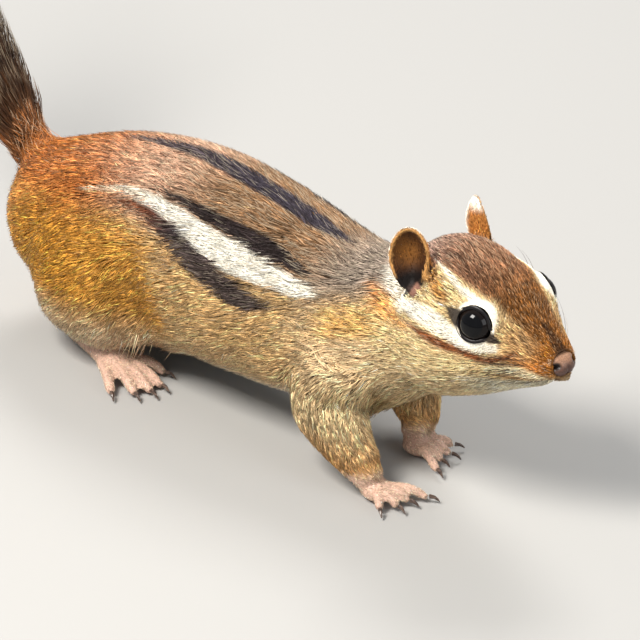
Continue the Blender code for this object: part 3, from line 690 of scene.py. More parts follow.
def markings(places, near):
    """The coat's colour at each place, which should be at the coat's outer surface."""
    right = on_right(places)
    lower = mix(DARK_RUST, SLATE, ramp(near.x, -44, -30))
    stripe = mix(STRIPE_CREAM, CREAM, ramp(near.x, -54, -36))
    colour = mix(body_colours(near), head_colours(near), ramp(near.x, 17, 27))
    for rows, paint, edge, strength in (
        (THIGH_EDGE, DARK_RUST, 1.5, 0.4), (EAR_PATCH, NECK_ORANGE, 1.6, 0.75), (NAPE_PATCH, CREAM, 0.8, FULL),
        (MUZZLE_BAR, ORANGE, 0.6, 0.55), (LIP_BAR, LIP, 0.6, FULL), (JAW_BAR, DARK_RUST, 0.5, FULL),
        (CHEEK_BAR, CREAM, 0.5, FULL), (TEMPLE_BAR, TEMPLE, 0.8, FULL), (BROW_BAR, CREAM, 0.4, FULL),
        (EYE_REAR, BLACK, 0.3, FULL), (EYE_FRONT, BLACK, 0.25, FULL), (BRIDGE, BRIDGE_BROWN_AND_SHADE, 0.9, 0.8),
        (SPINE, BLACK_WITH_BLUE_SHEEN, 0.5, FULL), (UPPER_BAR, BLACK, 0.35, FULL), (LOWER_BAR, lower, 0.6, FULL),
        (PALE_BAR, stripe, 0.4, 1),
    ):
        colour = mix(colour, paint, bar_share(right, rows, edge) * strength)
    ring = ramp(near.eye, 4.0, 4.4) * ramp(near.eye, 5.2, 4.7) * 0.75
    for corner in (EYE_REAR, EYE_FRONT):
        ring = ring * (1 - bar_share(right, corner, 0.3))
    return layered(
        colour, (CREAM, ring), (WRIST_GOLD, near.foreleg * ramp(near.z, 15, 5)),
        (FOOT_HAIR, near.feet * ramp(near.z, 6.5, 4)))


def ear_axes(places):
    """Each place in the nearer ear's own frame: out of the cup, up the ear and across."""
    away = on_right(places) - (EAR_ROOT + EAR_UP * EAR_HEIGHT * 0.4)
    up = unit(EAR_UP - EAR_OPENS * (EAR_UP @ EAR_OPENS))
    return away @ EAR_OPENS, away @ up, away @ np.cross(up, EAR_OPENS)


def ear_colours(places, normals, near, colour):
    """Inside, the cup is painted dark brown as shade round a gold patch, darkest as shade towards its bottom;
    outside it is orange and pale along its rear edge.
    """
    facing = folded_ways(normals, places)
    inside = ramp(facing @ EAR_OPENS, 0.0, 0.3)
    out, up, across = ear_axes(places)
    rim = ramp(out, -1.8, -1.6) * ramp(up, -4.2, -2.6)
    pale = np.maximum(ramp(-across, -1.2, 2.6), ramp(up, 4.0, 6.2))
    outer = mix(EAR_BACK, CREAM, pale)
    fuzz = np.exp(-((up - 1.6) / 2.8) ** 2 - ((across + 0.9) / 2.3) ** 2)
    # Painted shade: the cup darkens towards its bottom.
    inner = mix(EAR_DEEP_SHADE, mix(EAR_CUP_SHADE, EAR_GOLD, fuzz), ramp(up - 0.3 * across, -3.6, -0.6))
    ear = mix(mix(outer, inner, inside), EAR_RIM, rim * 0.9)
    return mix(colour, ear, near.ear)


print("colour function is ready")

# %% [markdown]
# ## Skin finish
# Between the tufts the skin shows as dark underfur. Its colours come from the
# markings, stored as an attribute, and a fine noise breaks them up. The mouth line and
# the ear's notch are darkened with painted shade. On nose, ears and
# soles it is bare skin with a soft shine.

# %% Skin material and colours


def store_colours(mesh, colours):
    """Keeps a colour for each point in the mesh's attribute named coat."""
    layer = mesh.color_attributes.new("coat", "FLOAT_COLOR", "POINT")
    flat = np.ones((len(mesh.vertices), 4), np.float32)
    flat[:, :3] = np.clip(colours, 0, 1)
    layer.data.foreach_set("color", flat.ravel())


def add_node(tree, kind, values=None, **sources):
    """A new node with some values set and some of its inputs linked."""
    node = tree.nodes.new(kind)
    set_inputs(node, values or {})
    for name, source in sources.items():
        tree.links.new(source, node.inputs[name])
    return node


def add_bump(tree, shader, height, relief, strength=1.0):
    """Fine relief, in mm, from a texture."""
    bump = add_node(tree, "ShaderNodeBump", {"Distance": relief * MM, "Strength": strength}, Height=height)
    tree.links.new(bump.outputs["Normal"], shader.inputs["Normal"])


def coat_material(name, roughness, grain, strength, specular, pattern="ShaderNodeTexNoise", relief=0.2):
    """A Principled finish whose colour is the coat attribute with a fine grain. Relief is in mm."""
    material, tree, shader = plain_material(name, {"Roughness": roughness, "Specular IOR Level": specular})
    colour = add_node(tree, "ShaderNodeAttribute")
    colour.attribute_name = "coat"
    where = add_node(tree, "ShaderNodeTexCoord")
    texture = add_node(tree, pattern, {"Scale": grain}, Vector=where.outputs["Object"])
    shades = {"From Min": 0.3, "From Max": 0.7, "To Min": 1 - strength, "To Max": 1 + strength}
    tint = add_node(tree, "ShaderNodeMapRange", shades, Value=texture.outputs[0])
    blend = add_node(tree, "ShaderNodeVectorMath")
    blend.operation = "SCALE"
    tree.links.new(colour.outputs["Color"], blend.inputs[0])
    tree.links.new(tint.outputs["Result"], blend.inputs["Scale"])
    tree.links.new(blend.outputs["Vector"], shader.inputs["Base Color"])
    add_bump(tree, shader, texture.outputs[0], relief, 0.5)
    return material


skin_finish = coat_material("skin_and_underfur", 0.6, 3200, 0.25, 0.2)
fur_finish = coat_material("fur", 0.55, 900, 0.12, 0.16)
skin.data.materials.clear()
skin.data.materials.append(skin_finish)
places = mesh_places(skin.data)
normals = vertex_normals(skin.data)
near = survey(places)
outer = places + normals * coat_depth(near)[:, None]
colours = markings(outer, near)
colours = ear_colours(places, normals, near, colours)
bare_foot = near.feet * ramp(places[:, 2], 7.5, 4)
whiteness = ramp(colours.min(axis=1), 0.5, 0.7)
to_notch, to_flap = notch_distance(places)
# Painted shade darkens the line of the mouth and the slit of the ear's notch.
colours = layered(
    colours * mix(0.55, 0.85, whiteness)[:, None], (colours, near.ear), (FOOT, bare_foot),
    (TAIL_FLESH, ramp(near.x, -84, -88)), (MOUTH_SHADE, ramp(mouth_distance(places), 0.4, 0.15) * 0.85),
    (NOTCH_PINK, ramp(to_flap, 1.9, 1.3)), (EAR_DEEP_SHADE, ramp(to_notch, 1.3, 0.95) * 0.9))
store_colours(skin.data, colours)
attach(skin, "root")
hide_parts(*FLESH, "tail")
print("skin coloured")

# %% [markdown]
# ## How the hair lies
# Hair grows backwards from the nose, over crown and cheeks, along back and belly, a
# little downwards on the flanks, down each leg and forwards over the toes. The field
# below mixes these ways by place. A slow wave turns it a little here and there, as a
# real coat parts and closes.

# %% Lie of the coat
WRIST = np.array([23.0, -15.3, 4.5])
LEFT_WRIST = np.array([16.5, 3.9, 4.5])


def wave(places, size, seed):
    """A smooth random field from -1 to 1 whose waves are about size mm long."""
    rng = np.random.default_rng(seed)
    total = np.zeros(len(places))
    for _ in range(5):
        way = unit(rng.normal(size=3)) * math.tau / (size * rng.uniform(0.7, 1.5))
        total += np.sin(places @ way + rng.uniform(0, math.tau))
    return total / 3


def lie_of_coat(places, normals, near):
    side = np.sign(places[:, 1:2])
    count = len(places)
    down = 0.25 + 0.35 * (1 - near.up) + 0.15 * wave(places, 22, 5)
    back = np.stack([np.full(count, -1.0), np.zeros(count), -down], axis=1)
    thigh = np.stack([np.full(count, -0.75), np.zeros(count), -0.75 + 0.3 * near.up], axis=1)
    back = mix(back, thigh, near.hind_leg)
    from_nose = unit(places - (NOSE - (1.5, 0, 1.0)))
    from_eye = folded_ways(unit(on_right(places) - EYE), places)
    wrist = np.where(side > 0, LEFT_WRIST, WRIST)
    down_leg = unit(wrist - places + (0, 0, -2))
    lie = layered(back, (from_nose, ramp(near.x, 8, 36)), (down_leg, near.foreleg * ramp(near.z, 27, 14)))
    lie = lie + from_eye * (1.1 * ramp(near.eye, 8.5, 5))[:, None]
    at_tail = ramp(np.linalg.norm(places - TAIL_ROOT, axis=1), 13, 6)
    over_toes, up_ear = np.array([0.95, 0, -0.3]), EAR_UP - (0.1, 0, 0)
    lie = layered(lie, (over_toes, near.feet), (up_ear, near.ear), (tail_ahead[0], at_tail))
    turn = (0.30 * wave(places, 9, 7) + 0.18 * wave(places, 3.5, 8)) * (1 - at_tail) * mix(1, 0.45, near.head)
    lie = lie + np.cross(normals, lie) * turn[:, None]
    lie = lie - normals * np.sum(lie * normals, axis=1, keepdims=True)
    return unit(lie)


print("lie of the coat is set")

# %% [markdown]
# ## Roots
# Each tuft grows from a point of the skin. Points are drawn at random over its
# triangles, more of them where the hair is finer: few on the back, where tufts are
# long and wide, and many on the face. The place on the unwrap is kept with each root,
# so that a tuft can later be found on the baked picture of the skin.

# %% Roots over the skin
BARE_MOUTH, BARE_NOTCH, BARE_FLAP = 0.25, 1.05, 1.3  # mm without hair
BARE_CUP = 0.8  # share of the tufts left out in the ear's cup
skin.data.calc_loop_triangles()
corner_points = read_rows(skin.data.loop_triangles, "vertices", kind=np.int32)
corner_loops = read_rows(skin.data.loop_triangles, "loops", kind=np.int32)
unwrap = read_rows(skin.data.uv_layers["OFBake"].data, "uv", 2)
corners = places[corner_points]
areas = np.linalg.norm(np.cross(corners[:, 1] - corners[:, 0], corners[:, 2] - corners[:, 0]), axis=1) / 2


def body_hairs(near):
    """How many tufts grow on each square mm of the body."""
    density = layered(
        6.3, (8.6, ramp(near.x, 10, 32)), (12.0, ramp(near.x, 38, 52)), (13.0, ramp(near.eye, 9, 5)),
        (9.0, near.foreleg * ramp(near.z, 18, 8)), (7.0, near.feet), (10.0, near.ear))
    return density * ramp(near.x, -89, -86) * (near.eye > 4.9)


def tail_hairs(near):
    """How many tufts grow on each square mm of the tail."""
    return 8.6 * ramp(near.x, -84, -87)


triangle_survey = survey(corners.mean(axis=1))


def grow_roots(hairs, seed):
    """Random places on the skin, as many as the function hairs says, with their normals and unwrap."""
    rng = np.random.default_rng(seed)
    wanted = areas * hairs(triangle_survey)
    counts = np.floor(wanted + rng.uniform(size=len(areas))).astype(int)
    owners = np.repeat(np.arange(len(areas)), counts)
    a, b = rng.uniform(size=(2, len(owners)))
    flip = a + b > 1
    a[flip], b[flip] = 1 - a[flip], 1 - b[flip]
    weights = np.stack([1 - a - b, a, b], axis=1)
    spots = np.einsum("nk,nkd->nd", weights, corners[owners])
    ways = unit(np.einsum("nk,nkd->nd", weights, normals[corner_points[owners]]))
    uvs = np.einsum("nk,nkd->nd", weights, unwrap[corner_loops[owners]])
    return spots, ways, uvs


roots, root_normals, root_uvs = grow_roots(body_hairs, 3)
to_mouth = mouth_distance(roots)
to_notch, to_flap = notch_distance(roots)
in_cup = ramp(folded_ways(root_normals, roots) @ EAR_OPENS, 0.0, 0.3) * (distance_to(ear_tree, roots) < 1.0)
sole = (roots[:, 2] < 1.2) & (root_normals[:, 2] < -0.3)
drawn = np.random.default_rng(5).uniform(size=len(roots))
bare = sole | (to_mouth <= BARE_MOUTH) | (to_notch <= BARE_NOTCH) | (to_flap <= BARE_FLAP)
keep = ~bare & (drawn > in_cup * BARE_CUP)
roots, root_normals, root_uvs = roots[keep], root_normals[keep], root_uvs[keep]
print("roots:", len(roots), "on", round(areas.sum()), "square mm")

# %% [markdown]
# ## Tufts
# A tuft is a flat, three-sided blade that tapers to a point: sunk at its root, bent
# half way and lying just over the coat's neighbours at its tip. The middle and the tip
# are placed above the nearest skin, so a tuft follows the body's curves. Neighbouring
# tips lean together, which gives the locks of a real coat. All tufts of one stretch of
# the body are joined in one mesh made from arrays.

# %% Tuft builder
UV_PATCH = 0.0015
ROOT_SINK = 0.15
skin_tree = surface_tree(skin.data)


def above_skin(targets, heights):
    """The places at given heights above the skin nearest to some targets."""
    found = np.empty_like(targets)
    for i, target in enumerate(targets.tolist()):
        spot, normal, _, _ = skin_tree.find_nearest(target)
        found[i] = spot + normal * heights[i]
    return found


def coat_mesh(name, sections, widths, flats, colours, uvs):
    """One mesh of tufts. sections holds each tuft's middle line from root to tip."""
    count, levels = sections.shape[:2]
    sides = 3
    ahead = unit(np.gradient(sections, axis=1))
    across = unit(np.cross(flats[:, None, :], ahead))
    over = np.cross(ahead, across)
    points, point_uvs, point_colours = [], [], []
    for level in range(levels - 1):
        for side in range(sides):
            turn = math.tau * side / sides + math.pi / 2
            shift = across[:, level] * math.cos(turn) + over[:, level] * math.sin(turn) * 0.5
            points.append(sections[:, level] + shift * widths[:, level, None])
            patch = UV_PATCH * (1 - level / (levels - 1))
            point_uvs.append(uvs + patch * np.array([math.cos(turn), math.sin(turn)]))
            point_colours.append(colours[:, level])
    points.append(sections[:, -1])
    point_uvs.append(uvs)
    point_colours.append(colours[:, -1])
    per_tuft = len(points)
    faces = [(2, 1, 0)]
    for level in range(levels - 2):
        for side in range(sides):
            a, b = level * sides + side, level * sides + (side + 1) % sides
            faces.extend([(a, b, b + sides), (a, b + sides, a + sides)])
    last = (levels - 2) * sides
    faces.extend([(last + side, last + (side + 1) % sides, per_tuft - 1) for side in range(sides)])
    points = np.stack(points, axis=1).reshape(-1, 3)
    point_uvs = np.stack(point_uvs, axis=1).reshape(-1, 2)
    point_colours = np.stack(point_colours, axis=1).reshape(-1, 3)
    triangles = (np.arange(count)[:, None, None] * per_tuft + np.array(faces)[None]).reshape(-1, 3)
    mesh = bpy.data.meshes.new(name)
    mesh.vertices.add(len(points))
    mesh.vertices.foreach_set("co", to_scene(points).astype(np.float32).ravel())
    mesh.loops.add(triangles.size)
    mesh.loops.foreach_set("vertex_index", triangles.astype(np.int32).ravel())
    mesh.polygons.add(len(triangles))
    mesh.polygons.foreach_set("loop_start", np.arange(0, triangles.size, 3, dtype=np.int32))
    mesh.uv_layers.new(name="OFBake").data.foreach_set("uv", point_uvs[triangles.ravel()].astype(np.float32).ravel())
    store_colours(mesh, point_colours)
    mesh.update(calc_edges=True)
    mesh.polygons.foreach_set("use_smooth", np.ones(len(triangles), bool))
    mesh.materials.append(fur_finish)
    obj = add_object(name, mesh)
    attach(obj, "root")
    return obj


print("tuft builder is ready")

# %% Length, width and height of each tuft


def hair_length(near):
    length = layered(7.2, (4.2, ramp(near.x, 12, 34)), (2.1, ramp(near.x, 36, 52)), (1.1, ramp(near.x, 54, 60)))
    length = layered(
        1.0, (length, ramp(near.eye, 4.4, 10)), (mix(1.6, 5.6, ramp(near.z, 3, 18)), near.foreleg),
        (mix(1.6, 7.0, ramp(near.z, 3, 15)), near.hind_leg))
    length = length * mix(1, mix(0.3, 1, ramp(near.ear_gap, 1.5, 7)), ramp(near.x, 26, 30))
    return layered(length, (mix(0.9, 2.6, ramp(near.z, 3.5, 8)), near.feet), (1.5, near.ear))


def tuft_half_width(near):
    width = layered(0.135, (0.11, ramp(near.x, 12, 32)), (0.075, ramp(near.x, 38, 52)))
    return layered(0.07, (width, ramp(near.eye, 5, 10)), (0.07, np.maximum(near.feet, near.ear)))


def no_further(start, ends, longest):
    """Ends brought back where the nearest skin was across a gap, as between leg and belly."""
    span = ends - start
    return start + span * np.minimum(1, longest / np.linalg.norm(span, axis=1))[:, None]


CUP_SHORTENING = 0.65  # so that no tuft beside an ear covers its cup
rng = np.random.default_rng(12)
near = survey(roots)
depth = coat_depth(near)
lie = lie_of_coat(roots, root_normals, near)
length = hair_length(near) * rng.uniform(0.75, 1.2, len(roots))
length = np.minimum(length, 0.5 + 0.55 * np.minimum(*notch_distance(roots)))
stray = unit(lie + rng.normal(0, 0.16, lie.shape) + root_normals * 0.1)
half_heights = depth * rng.uniform(0.45, 0.7, len(roots)) + 0.05
tip_heights = depth * rng.uniform(0.6, 1.02, len(roots)) + 0.06 + 0.22 * near.ear + 0.1 * near.feet
middle = above_skin(roots + stray * length[:, None] * 0.5, half_heights)
tips = above_skin(roots + stray * length[:, None], tip_heights)
middle = no_further(roots, middle, length * 0.6)
tips = no_further(roots, tips, length * 1.1)
out, up, across = ear_axes(tips)
over_cup = (out > -4.2) & (out < 1) & (np.abs(across) < 3.4) & (up > -5) & (near.ear < 0.5)
middle, tips = (mix(ends, roots, CUP_SHORTENING * over_cup) for ends in (middle, tips))
print("tufts laid")

# %% Tips lean together
CLUMP = 1.7


def gathered(tips, strength):
    """Moves each tip towards the mean of the tips in its cell of space."""
    cells = np.floor(tips / CLUMP).astype(np.int64)
    keys = cells[:, 0] * 1_000_003 + cells[:, 1] * 1_009 + cells[:, 2]
    _, group = np.unique(keys, return_inverse=True)
    sizes = np.bincount(group)
    means = np.stack([np.bincount(group, tips[:, k]) / sizes for k in range(3)], axis=1)
    return mix(tips, means[group], strength)


tips = gathered(tips, 0.5 * ramp(length, 1.4, 4.5))
print("tips gathered")

# %% Colour of each tuft
DARK_TICK = linear(44, 34, 28)
PALE_TICK = linear(246, 230, 200)
GOLD_TICK = linear(226, 160, 76)


def tick_chances(near):
    """How many tufts are tipped with black and with cream, by place."""
    dark = layered(
        0.10, (0.26, ramp(near.up, 0.55, 0.85)), (0.42, near.head * ramp(near.up, 0.6, 0.8)),
        (0.16, near.head * ramp(near.up, 0.7, 0.5)))
    pale = layered(0.16, (0.34, ramp(near.up, 0.6, 0.85) * ramp(near.x, -60, -35)), (0.30, near.head))
    bare = np.maximum(near.feet, near.ear)
    calm = ramp(near.eye, 6, 9) * (1 - bare) * (1 - 0.5 * near.hind_leg) * (1 - 0.5 * near.foreleg)
    return dark * calm, pale * calm


def tuft_colours(near, seen, visible, normals, lie, rng):
    """The root, middle and tip colour of each tuft, with streaks along the lie that are partly the coat's grizzle
    and partly painted sheen and shade between locks.
    """
    base = markings(visible, seen)
    base = ear_colours(visible, normals, near, base)
    count = len(base)
    along = np.sum(visible * lie, axis=1, keepdims=True)
    across_hair = visible - lie * along * 0.72
    # Streaks: the coat's own grizzle, with painted sheen and shade between locks, stronger on the crown.
    streak = 0.34 * wave(across_hair, 1.5, 14) + 0.30 * wave(across_hair, 0.8, 15) + 0.12 * wave(visible, 5, 4)
    streak = streak + 0.34 * wave(across_hair, 0.45, 16)
    streak = streak * mix(1, 1.5, near.head * ramp(near.up, 0.5, 0.7))
    calm = 1 - 0.7 * ramp(base.min(axis=1), 0.45, 0.7)
    base = base * np.exp((streak + rng.normal(0, 0.2, count)) * calm)[:, None]
    brightness = base @ (0.3, 0.6, 0.1)
    marked = ramp(brightness, 0.07, 0.03)
    white = ramp(brightness, 0.55, 0.7)
    dark, pale = tick_chances(near)
    draw = rng.uniform(size=count)
    is_dark = draw < dark * (1 - 0.9 * white)
    is_pale = draw > 1 - pale * (1 - 0.85 * marked)
    tip = base * 1.08
    tip[is_dark] = mix(base, DARK_TICK, 0.8)[is_dark]
    golden = 0.45 * near.head * ramp(near.x, 34, 46) * ramp(near.up, 0.5, 0.7)
    golden = np.maximum(near.hind_leg * 0.6, golden)
    tip[is_pale] = mix(base, mix(PALE_TICK, GOLD_TICK, golden), 0.6)[is_pale]
    root = mix(mix(UNDERFUR, base, 0.45), base, np.maximum(near.feet, white * 0.8))
    return np.stack([root, base, tip], axis=1)


visible = mix(middle, tips, 0.4)
seen = survey(visible)
tints = tuft_colours(near, seen, visible, root_normals, lie, rng)
print("tufts coloured")

# %% Coat pieces
TUFTS_A_PIECE = 19000
half_width = tuft_half_width(near) * rng.uniform(0.8, 1.25, len(roots))
sections = np.stack([roots - root_normals * ROOT_SINK, middle, tips], axis=1)
sections[..., 2] = np.maximum(sections[..., 2], 0.1)
widths = half_width[:, None] * np.array([1.0, 0.85, 0.0])
order = np.argsort(roots[:, 0])
coat = []
for k, chosen in enumerate(np.array_split(order, math.ceil(len(order) / TUFTS_A_PIECE))):
    piece = coat_mesh(f"coat_{k + 1}", sections[chosen], widths[chosen], root_normals[chosen],
                      tints[chosen], root_uvs[chosen])
    coat.append(piece)
print("coat of", len(coat), "pieces,", sum(len(c.data.polygons) for c in coat), "triangles")

# %% [markdown]
# ## Tail hair
# The tail's hairs are the longest on the animal. They leave the thin tail steeply and
# then bend along it, so that it looks like a flattened bottle brush. Each hair is rust
# coloured at its foot, black further out and hoary at its tip, which gives the tail its
# dark edge with a frosted rim. Below, the rust shows more. Tufts with one more bend
# than those of the body follow that course.

# %% Tail hair
TAIL_HALF_WIDTH = ((0, 7.2), (0.08, 6.8), (0.2, 7.8), (0.4, 9.4), (0.6, 10.0), (0.8, 8.8), (0.93, 6.4), (1.05, 3.4))
TAIL_FLATNESS = 0.85
TAIL_REACH = (0.10, 0.17)  # how far a hair goes along the tail, as a share of its length
TAIL_END = 1.07
HOARY = linear(182, 162, 134)
TAIL_BLACK = linear(44, 34, 28)
UNDER_RUST = linear(160, 92, 44)


def on_tail(shares, radii, turns):
    """Places round the tail's path. Beyond its end the path goes straight on."""
    steps = np.clip(np.round(shares * TAIL_STEPS).astype(int), 0, TAIL_STEPS)
    beyond = np.maximum(shares - 1, 0) * TAIL_LENGTH
    centre = tail_spots[steps] + tail_ahead[steps] * beyond[:, None]
    wide = np.cos(turns)[:, None] * np.array([0, 1, 0])
    return centre + (wide + tail_upper[steps] * np.sin(turns)[:, None] * TAIL_FLATNESS) * radii[:, None]


rng = np.random.default_rng(21)
tail_roots, tail_normals, tail_uvs = grow_roots(tail_hairs, 4)
path_step = np.argmin(np.linalg.norm(tail_roots[:, None] - tail_spots[None, ::4], axis=2), axis=1) * 4
root_share = path_step / TAIL_STEPS
away = tail_roots - tail_spots[path_step]
root_turn = np.arctan2(np.sum(away * tail_upper[path_step], axis=1), away[:, 1])
root_radius = np.linalg.norm(away, axis=1)
count = len(tail_roots)
reach = rng.uniform(*TAIL_REACH, count) * mix(0.75, 1, ramp(root_share, 0, 0.15))
tip_share = np.minimum(root_share + reach, TAIL_END - 0.05 * rng.uniform(size=count))
tip_radius = np.interp(tip_share, *zip(*TAIL_HALF_WIDTH)) * rng.uniform(0.12, 1, count) ** 0.6
tip_radius = np.maximum(tip_radius, root_radius * 0.5)
tip_turn = root_turn + rng.normal(0, 0.16, count)
tail_sections = [tail_roots - tail_normals * ROOT_SINK]
for along, out in ((0.30, 0.46), (0.66, 0.82), (1.0, 1.0)):
    tail_sections.append(on_tail(
        mix(root_share, tip_share, along), mix(root_radius, tip_radius, out), mix(root_turn, tip_turn, along)))
tail_sections = np.stack(tail_sections, axis=1)
under = ramp(np.sin(tip_turn) + rng.normal(0, 0.12, count), -0.1, -0.85)
far_out = ramp(tip_radius / np.interp(tip_share, *zip(*TAIL_HALF_WIDTH)), 0.4, 0.8)
at_base = ramp(tip_share, 0.3, 0.1)
foot_tint = mix(TAIL_RUST, UNDER_RUST, under)
black_band = layered(TAIL_BLACK, (TAIL_RUST, 0.7 * at_base), (UNDER_RUST, under * 0.75))
tip_tint = layered(TAIL_BLACK, (HOARY, far_out * 0.6), (TAIL_RUST, at_base * 0.75), (UNDER_RUST, under * 0.5))
tail_tints = np.stack([foot_tint * 0.6, foot_tint, black_band, tip_tint], axis=1)
tail_tints = tail_tints * np.exp(rng.normal(0, 0.2, (count, 1, 1)))
tail_widths = rng.uniform(0.12, 0.19, count)[:, None] * np.array([0.9, 1.0, 0.75, 0.0])
coat_tail = coat_mesh("coat_tail", tail_sections, tail_widths, tail_normals, tail_tints, tail_uvs)
print("tail hair:", count, "tufts,", len(coat_tail.data.polygons), "triangles")

# %% [markdown]
# ## Eyes
# A chipmunk's eye is large, round and almost black, and all that shows of it is a wet
# ball between dark lids. The ball is a UV sphere turned to face the way the eye looks,
# with its front drawn out a little for the cornea, so that its highlight is small and
# crisp. A clear coat over a near-black base gives the wetness.

# %% Eyeballs
CORNEA = 0.22
CORNEA_EDGE, IRIS_EDGE, PUPIL_EDGE = (0.62, 0.95), (0.55, 0.62), (0.80, 0.86)  # 1 is the middle of the pupil
IRIS_BROWN = linear(26, 17, 12)
EYE_BLACK = linear(7, 7, 9)
CORNER_AXIS = np.array([0.893, 0.18, -0.40])
CORNER_AXIS = unit(CORNER_AXIS - EYE_FACING * (CORNER_AXIS @ EYE_FACING))
LID_AXIS = np.cross(EYE_FACING, CORNER_AXIS)


def eye_material():
    material = coat_material("eye_gloss", 0.08, 900, 0.15, 0.05, relief=0.0)
    shader = material.node_tree.nodes["Principled BSDF"]
    set_inputs(shader, {"Coat Weight": 0.45, "Coat Roughness": 0.02, "Coat IOR": 1.38})
    return material


def smooth_ball(name, segments, rings):
    """A UV sphere, and the direction of each of its points from its middle."""
    bpy.ops.object.select_all(action="DESELECT")
    bpy.ops.mesh.primitive_uv_sphere_add(segments=segments, ring_count=rings, radius=MM)
    ball = bpy.context.object
    ball.name = name
    bpy.ops.object.shade_smooth()
    return ball, unit(mesh_places(ball.data) + shoulders / MM)


def eyeball(name, side, finish):
    ball, ways = smooth_ball(name, 64, 40)
    front = ways[:, 2]
    radius = EYE_RADIUS + CORNEA * ramp(front, *CORNEA_EDGE)
    turned = ways[:, :1] * CORNER_AXIS + ways[:, 1:2] * LID_AXIS + ways[:, 2:] * EYE_FACING
    places = EYE + turned * radius[:, None]
    if side == "left":
        places = places * MIRRORED
        ball.data.flip_normals()
    move_mesh(ball.data, places)
    iris = ramp(front, *IRIS_EDGE) * (1 - ramp(front, *PUPIL_EDGE))
    store_colours(ball.data, mix(EYE_BLACK, IRIS_BROWN, iris * 0.5))
    ball.data.materials.append(finish)
    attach(ball, "root")
    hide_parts("eye_" + side)
    return ball


eye_gloss = eye_material()
eyeballs = [eyeball("eyeball_" + side, side, eye_gloss) for side in ("right", "left")]
print("eyeballs:", len(eyeballs))

# %% [markdown]
# ## Eyelids
# The lids are a thin dark rim of bare skin that hugs the ball. It is drawn out to a
# point at the front corner, low on the face, and at the rear corner, so that the
# opening is almond shaped. A small closed profile is swept once round the opening, and
# its width changes with the angle. The inner edge is moist, and a painted highlight
# makes it a little lighter, most on the lower rear.

# %% Eyelids
LID_COLUMNS = 96
LID_OPENING = 45  # degrees from the middle of the eye, and how far each corner is drawn out
DRAWN_FRONT, DRAWN_REAR = 18, 7
LID_PROFILE = ((0.0, 4.05), (0.8, 4.24), (2.2, 4.36), (4.4, 4.58), (7.6, 4.68), (10.5, 4.55), (8.0, 4.20),
               (4.0, 3.98))
# A painted highlight along the inner margin: factors on the lid's brown, row by row of the profile.
LID_GLINT = (0.9, 2.6, 1.5, 1.0, 1.0, 1.0, 1.0, 1.0)
LID_BROWN = linear(16, 12, 13)


def near_angle(angles, middle, width):
    apart = (angles - middle + math.pi) % math.tau - math.pi
    return np.exp(-(apart / width) ** 2)


def eyelid(name, side):
    """The rim round one eye. Angles run from the front corner over the upper lid."""
    angles = np.linspace(0, math.tau, LID_COLUMNS, endpoint=False)
    front, rear = near_angle(angles, 0, 0.3), near_angle(angles, math.pi, 0.34)
    opening = LID_OPENING + 2.5 * np.cos(angles) ** 2 + DRAWN_FRONT * front + DRAWN_REAR * rear
    places, shades = [], []
    for angle, edge, at_front, at_rear in zip(angles, opening, front, rear):
        around = CORNER_AXIS * math.cos(angle) + LID_AXIS * math.sin(angle)
        # The painted highlight is strongest on the lower rear of the lid.
        lower_rear = 0.5 - 0.5 * math.sin(angle + 0.35)
        for (out, radius), shade in zip(LID_PROFILE, LID_GLINT):
            turn = math.radians(edge + out * (0.8 + 0.7 * at_rear + 0.6 * at_front))
            places.append(EYE + (EYE_FACING * math.cos(turn) + around * math.sin(turn)) * radius)
            shades.append(LID_BROWN * mix(1.0, shade, lower_rear))
    rows = len(LID_PROFILE)
    faces = []
    for i in range(LID_COLUMNS):
        j = (i + 1) % LID_COLUMNS
        for k in range(rows):
            n = (k + 1) % rows
            faces.append((i * rows + k, j * rows + k, j * rows + n, i * rows + n))
    places = np.array(places)
    if side == "left":
        places = places * MIRRORED
    lid = mesh_object(name, places, faces)
    store_colours(lid.data, np.array(shades))
    face_outwards(lid)
    soften = lid.modifiers.new("Soften", "SUBSURF")
    soften.levels = soften.render_levels = 1
    apply_all(lid)
    bpy.ops.object.shade_smooth()
    lid.data.materials.append(lid_skin)
    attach(lid, "root")
    return lid


lid_skin = coat_material("lid_skin", 0.35, 3000, 0.25, 0.3, relief=0.05)
eyelids = [eyelid("eyelid_" + side, side) for side in ("right", "left")]
print("lids of", len(eyelids[0].data.polygons), "faces each")

# %% [markdown]
# ## Nose
# The nose is a small cushion of bare, pebbled skin over the tip of the muzzle. Each
# nostril is a comma: a round hole near the front whose tail runs back and down its
# side. A furrow parts the two halves below. A sphere is pulled to the size of the
# nose, and the commas and the furrow are pressed in with the same fold as the mouth
# and darkened with painted shade.

# %% Nose
NOSE_CENTRE = np.array([58.9, 0.0, 36.8])
NOSE_HALF = np.array([3.5, 3.95, 2.6])
NOSTRIL_LINE = ((61.5, -2.4, 37.6), (60.9, -3.0, 37.5), (60.5, -3.4, 36.9), (60.5, -3.4, 36.1), (60.9, -2.8, 35.3))
FURROW_LINE = ((62.5, 0, 37.6), (62.4, 0, 36.5), (61.8, 0, 35.2), (60.8, 0, 34.5))
NOSE_PINK = linear(122, 88, 70)
NOSE_DARK = linear(76, 46, 36)
NOSE_TAN = linear(150, 112, 86)
# Painted shade in the nostril holes.
NOSTRIL_SHADE = linear(20, 11, 9)
NOSE_HAIR_PALE = linear(216, 184, 152)
NOSE_HAIR_DARK = linear(112, 76, 54)


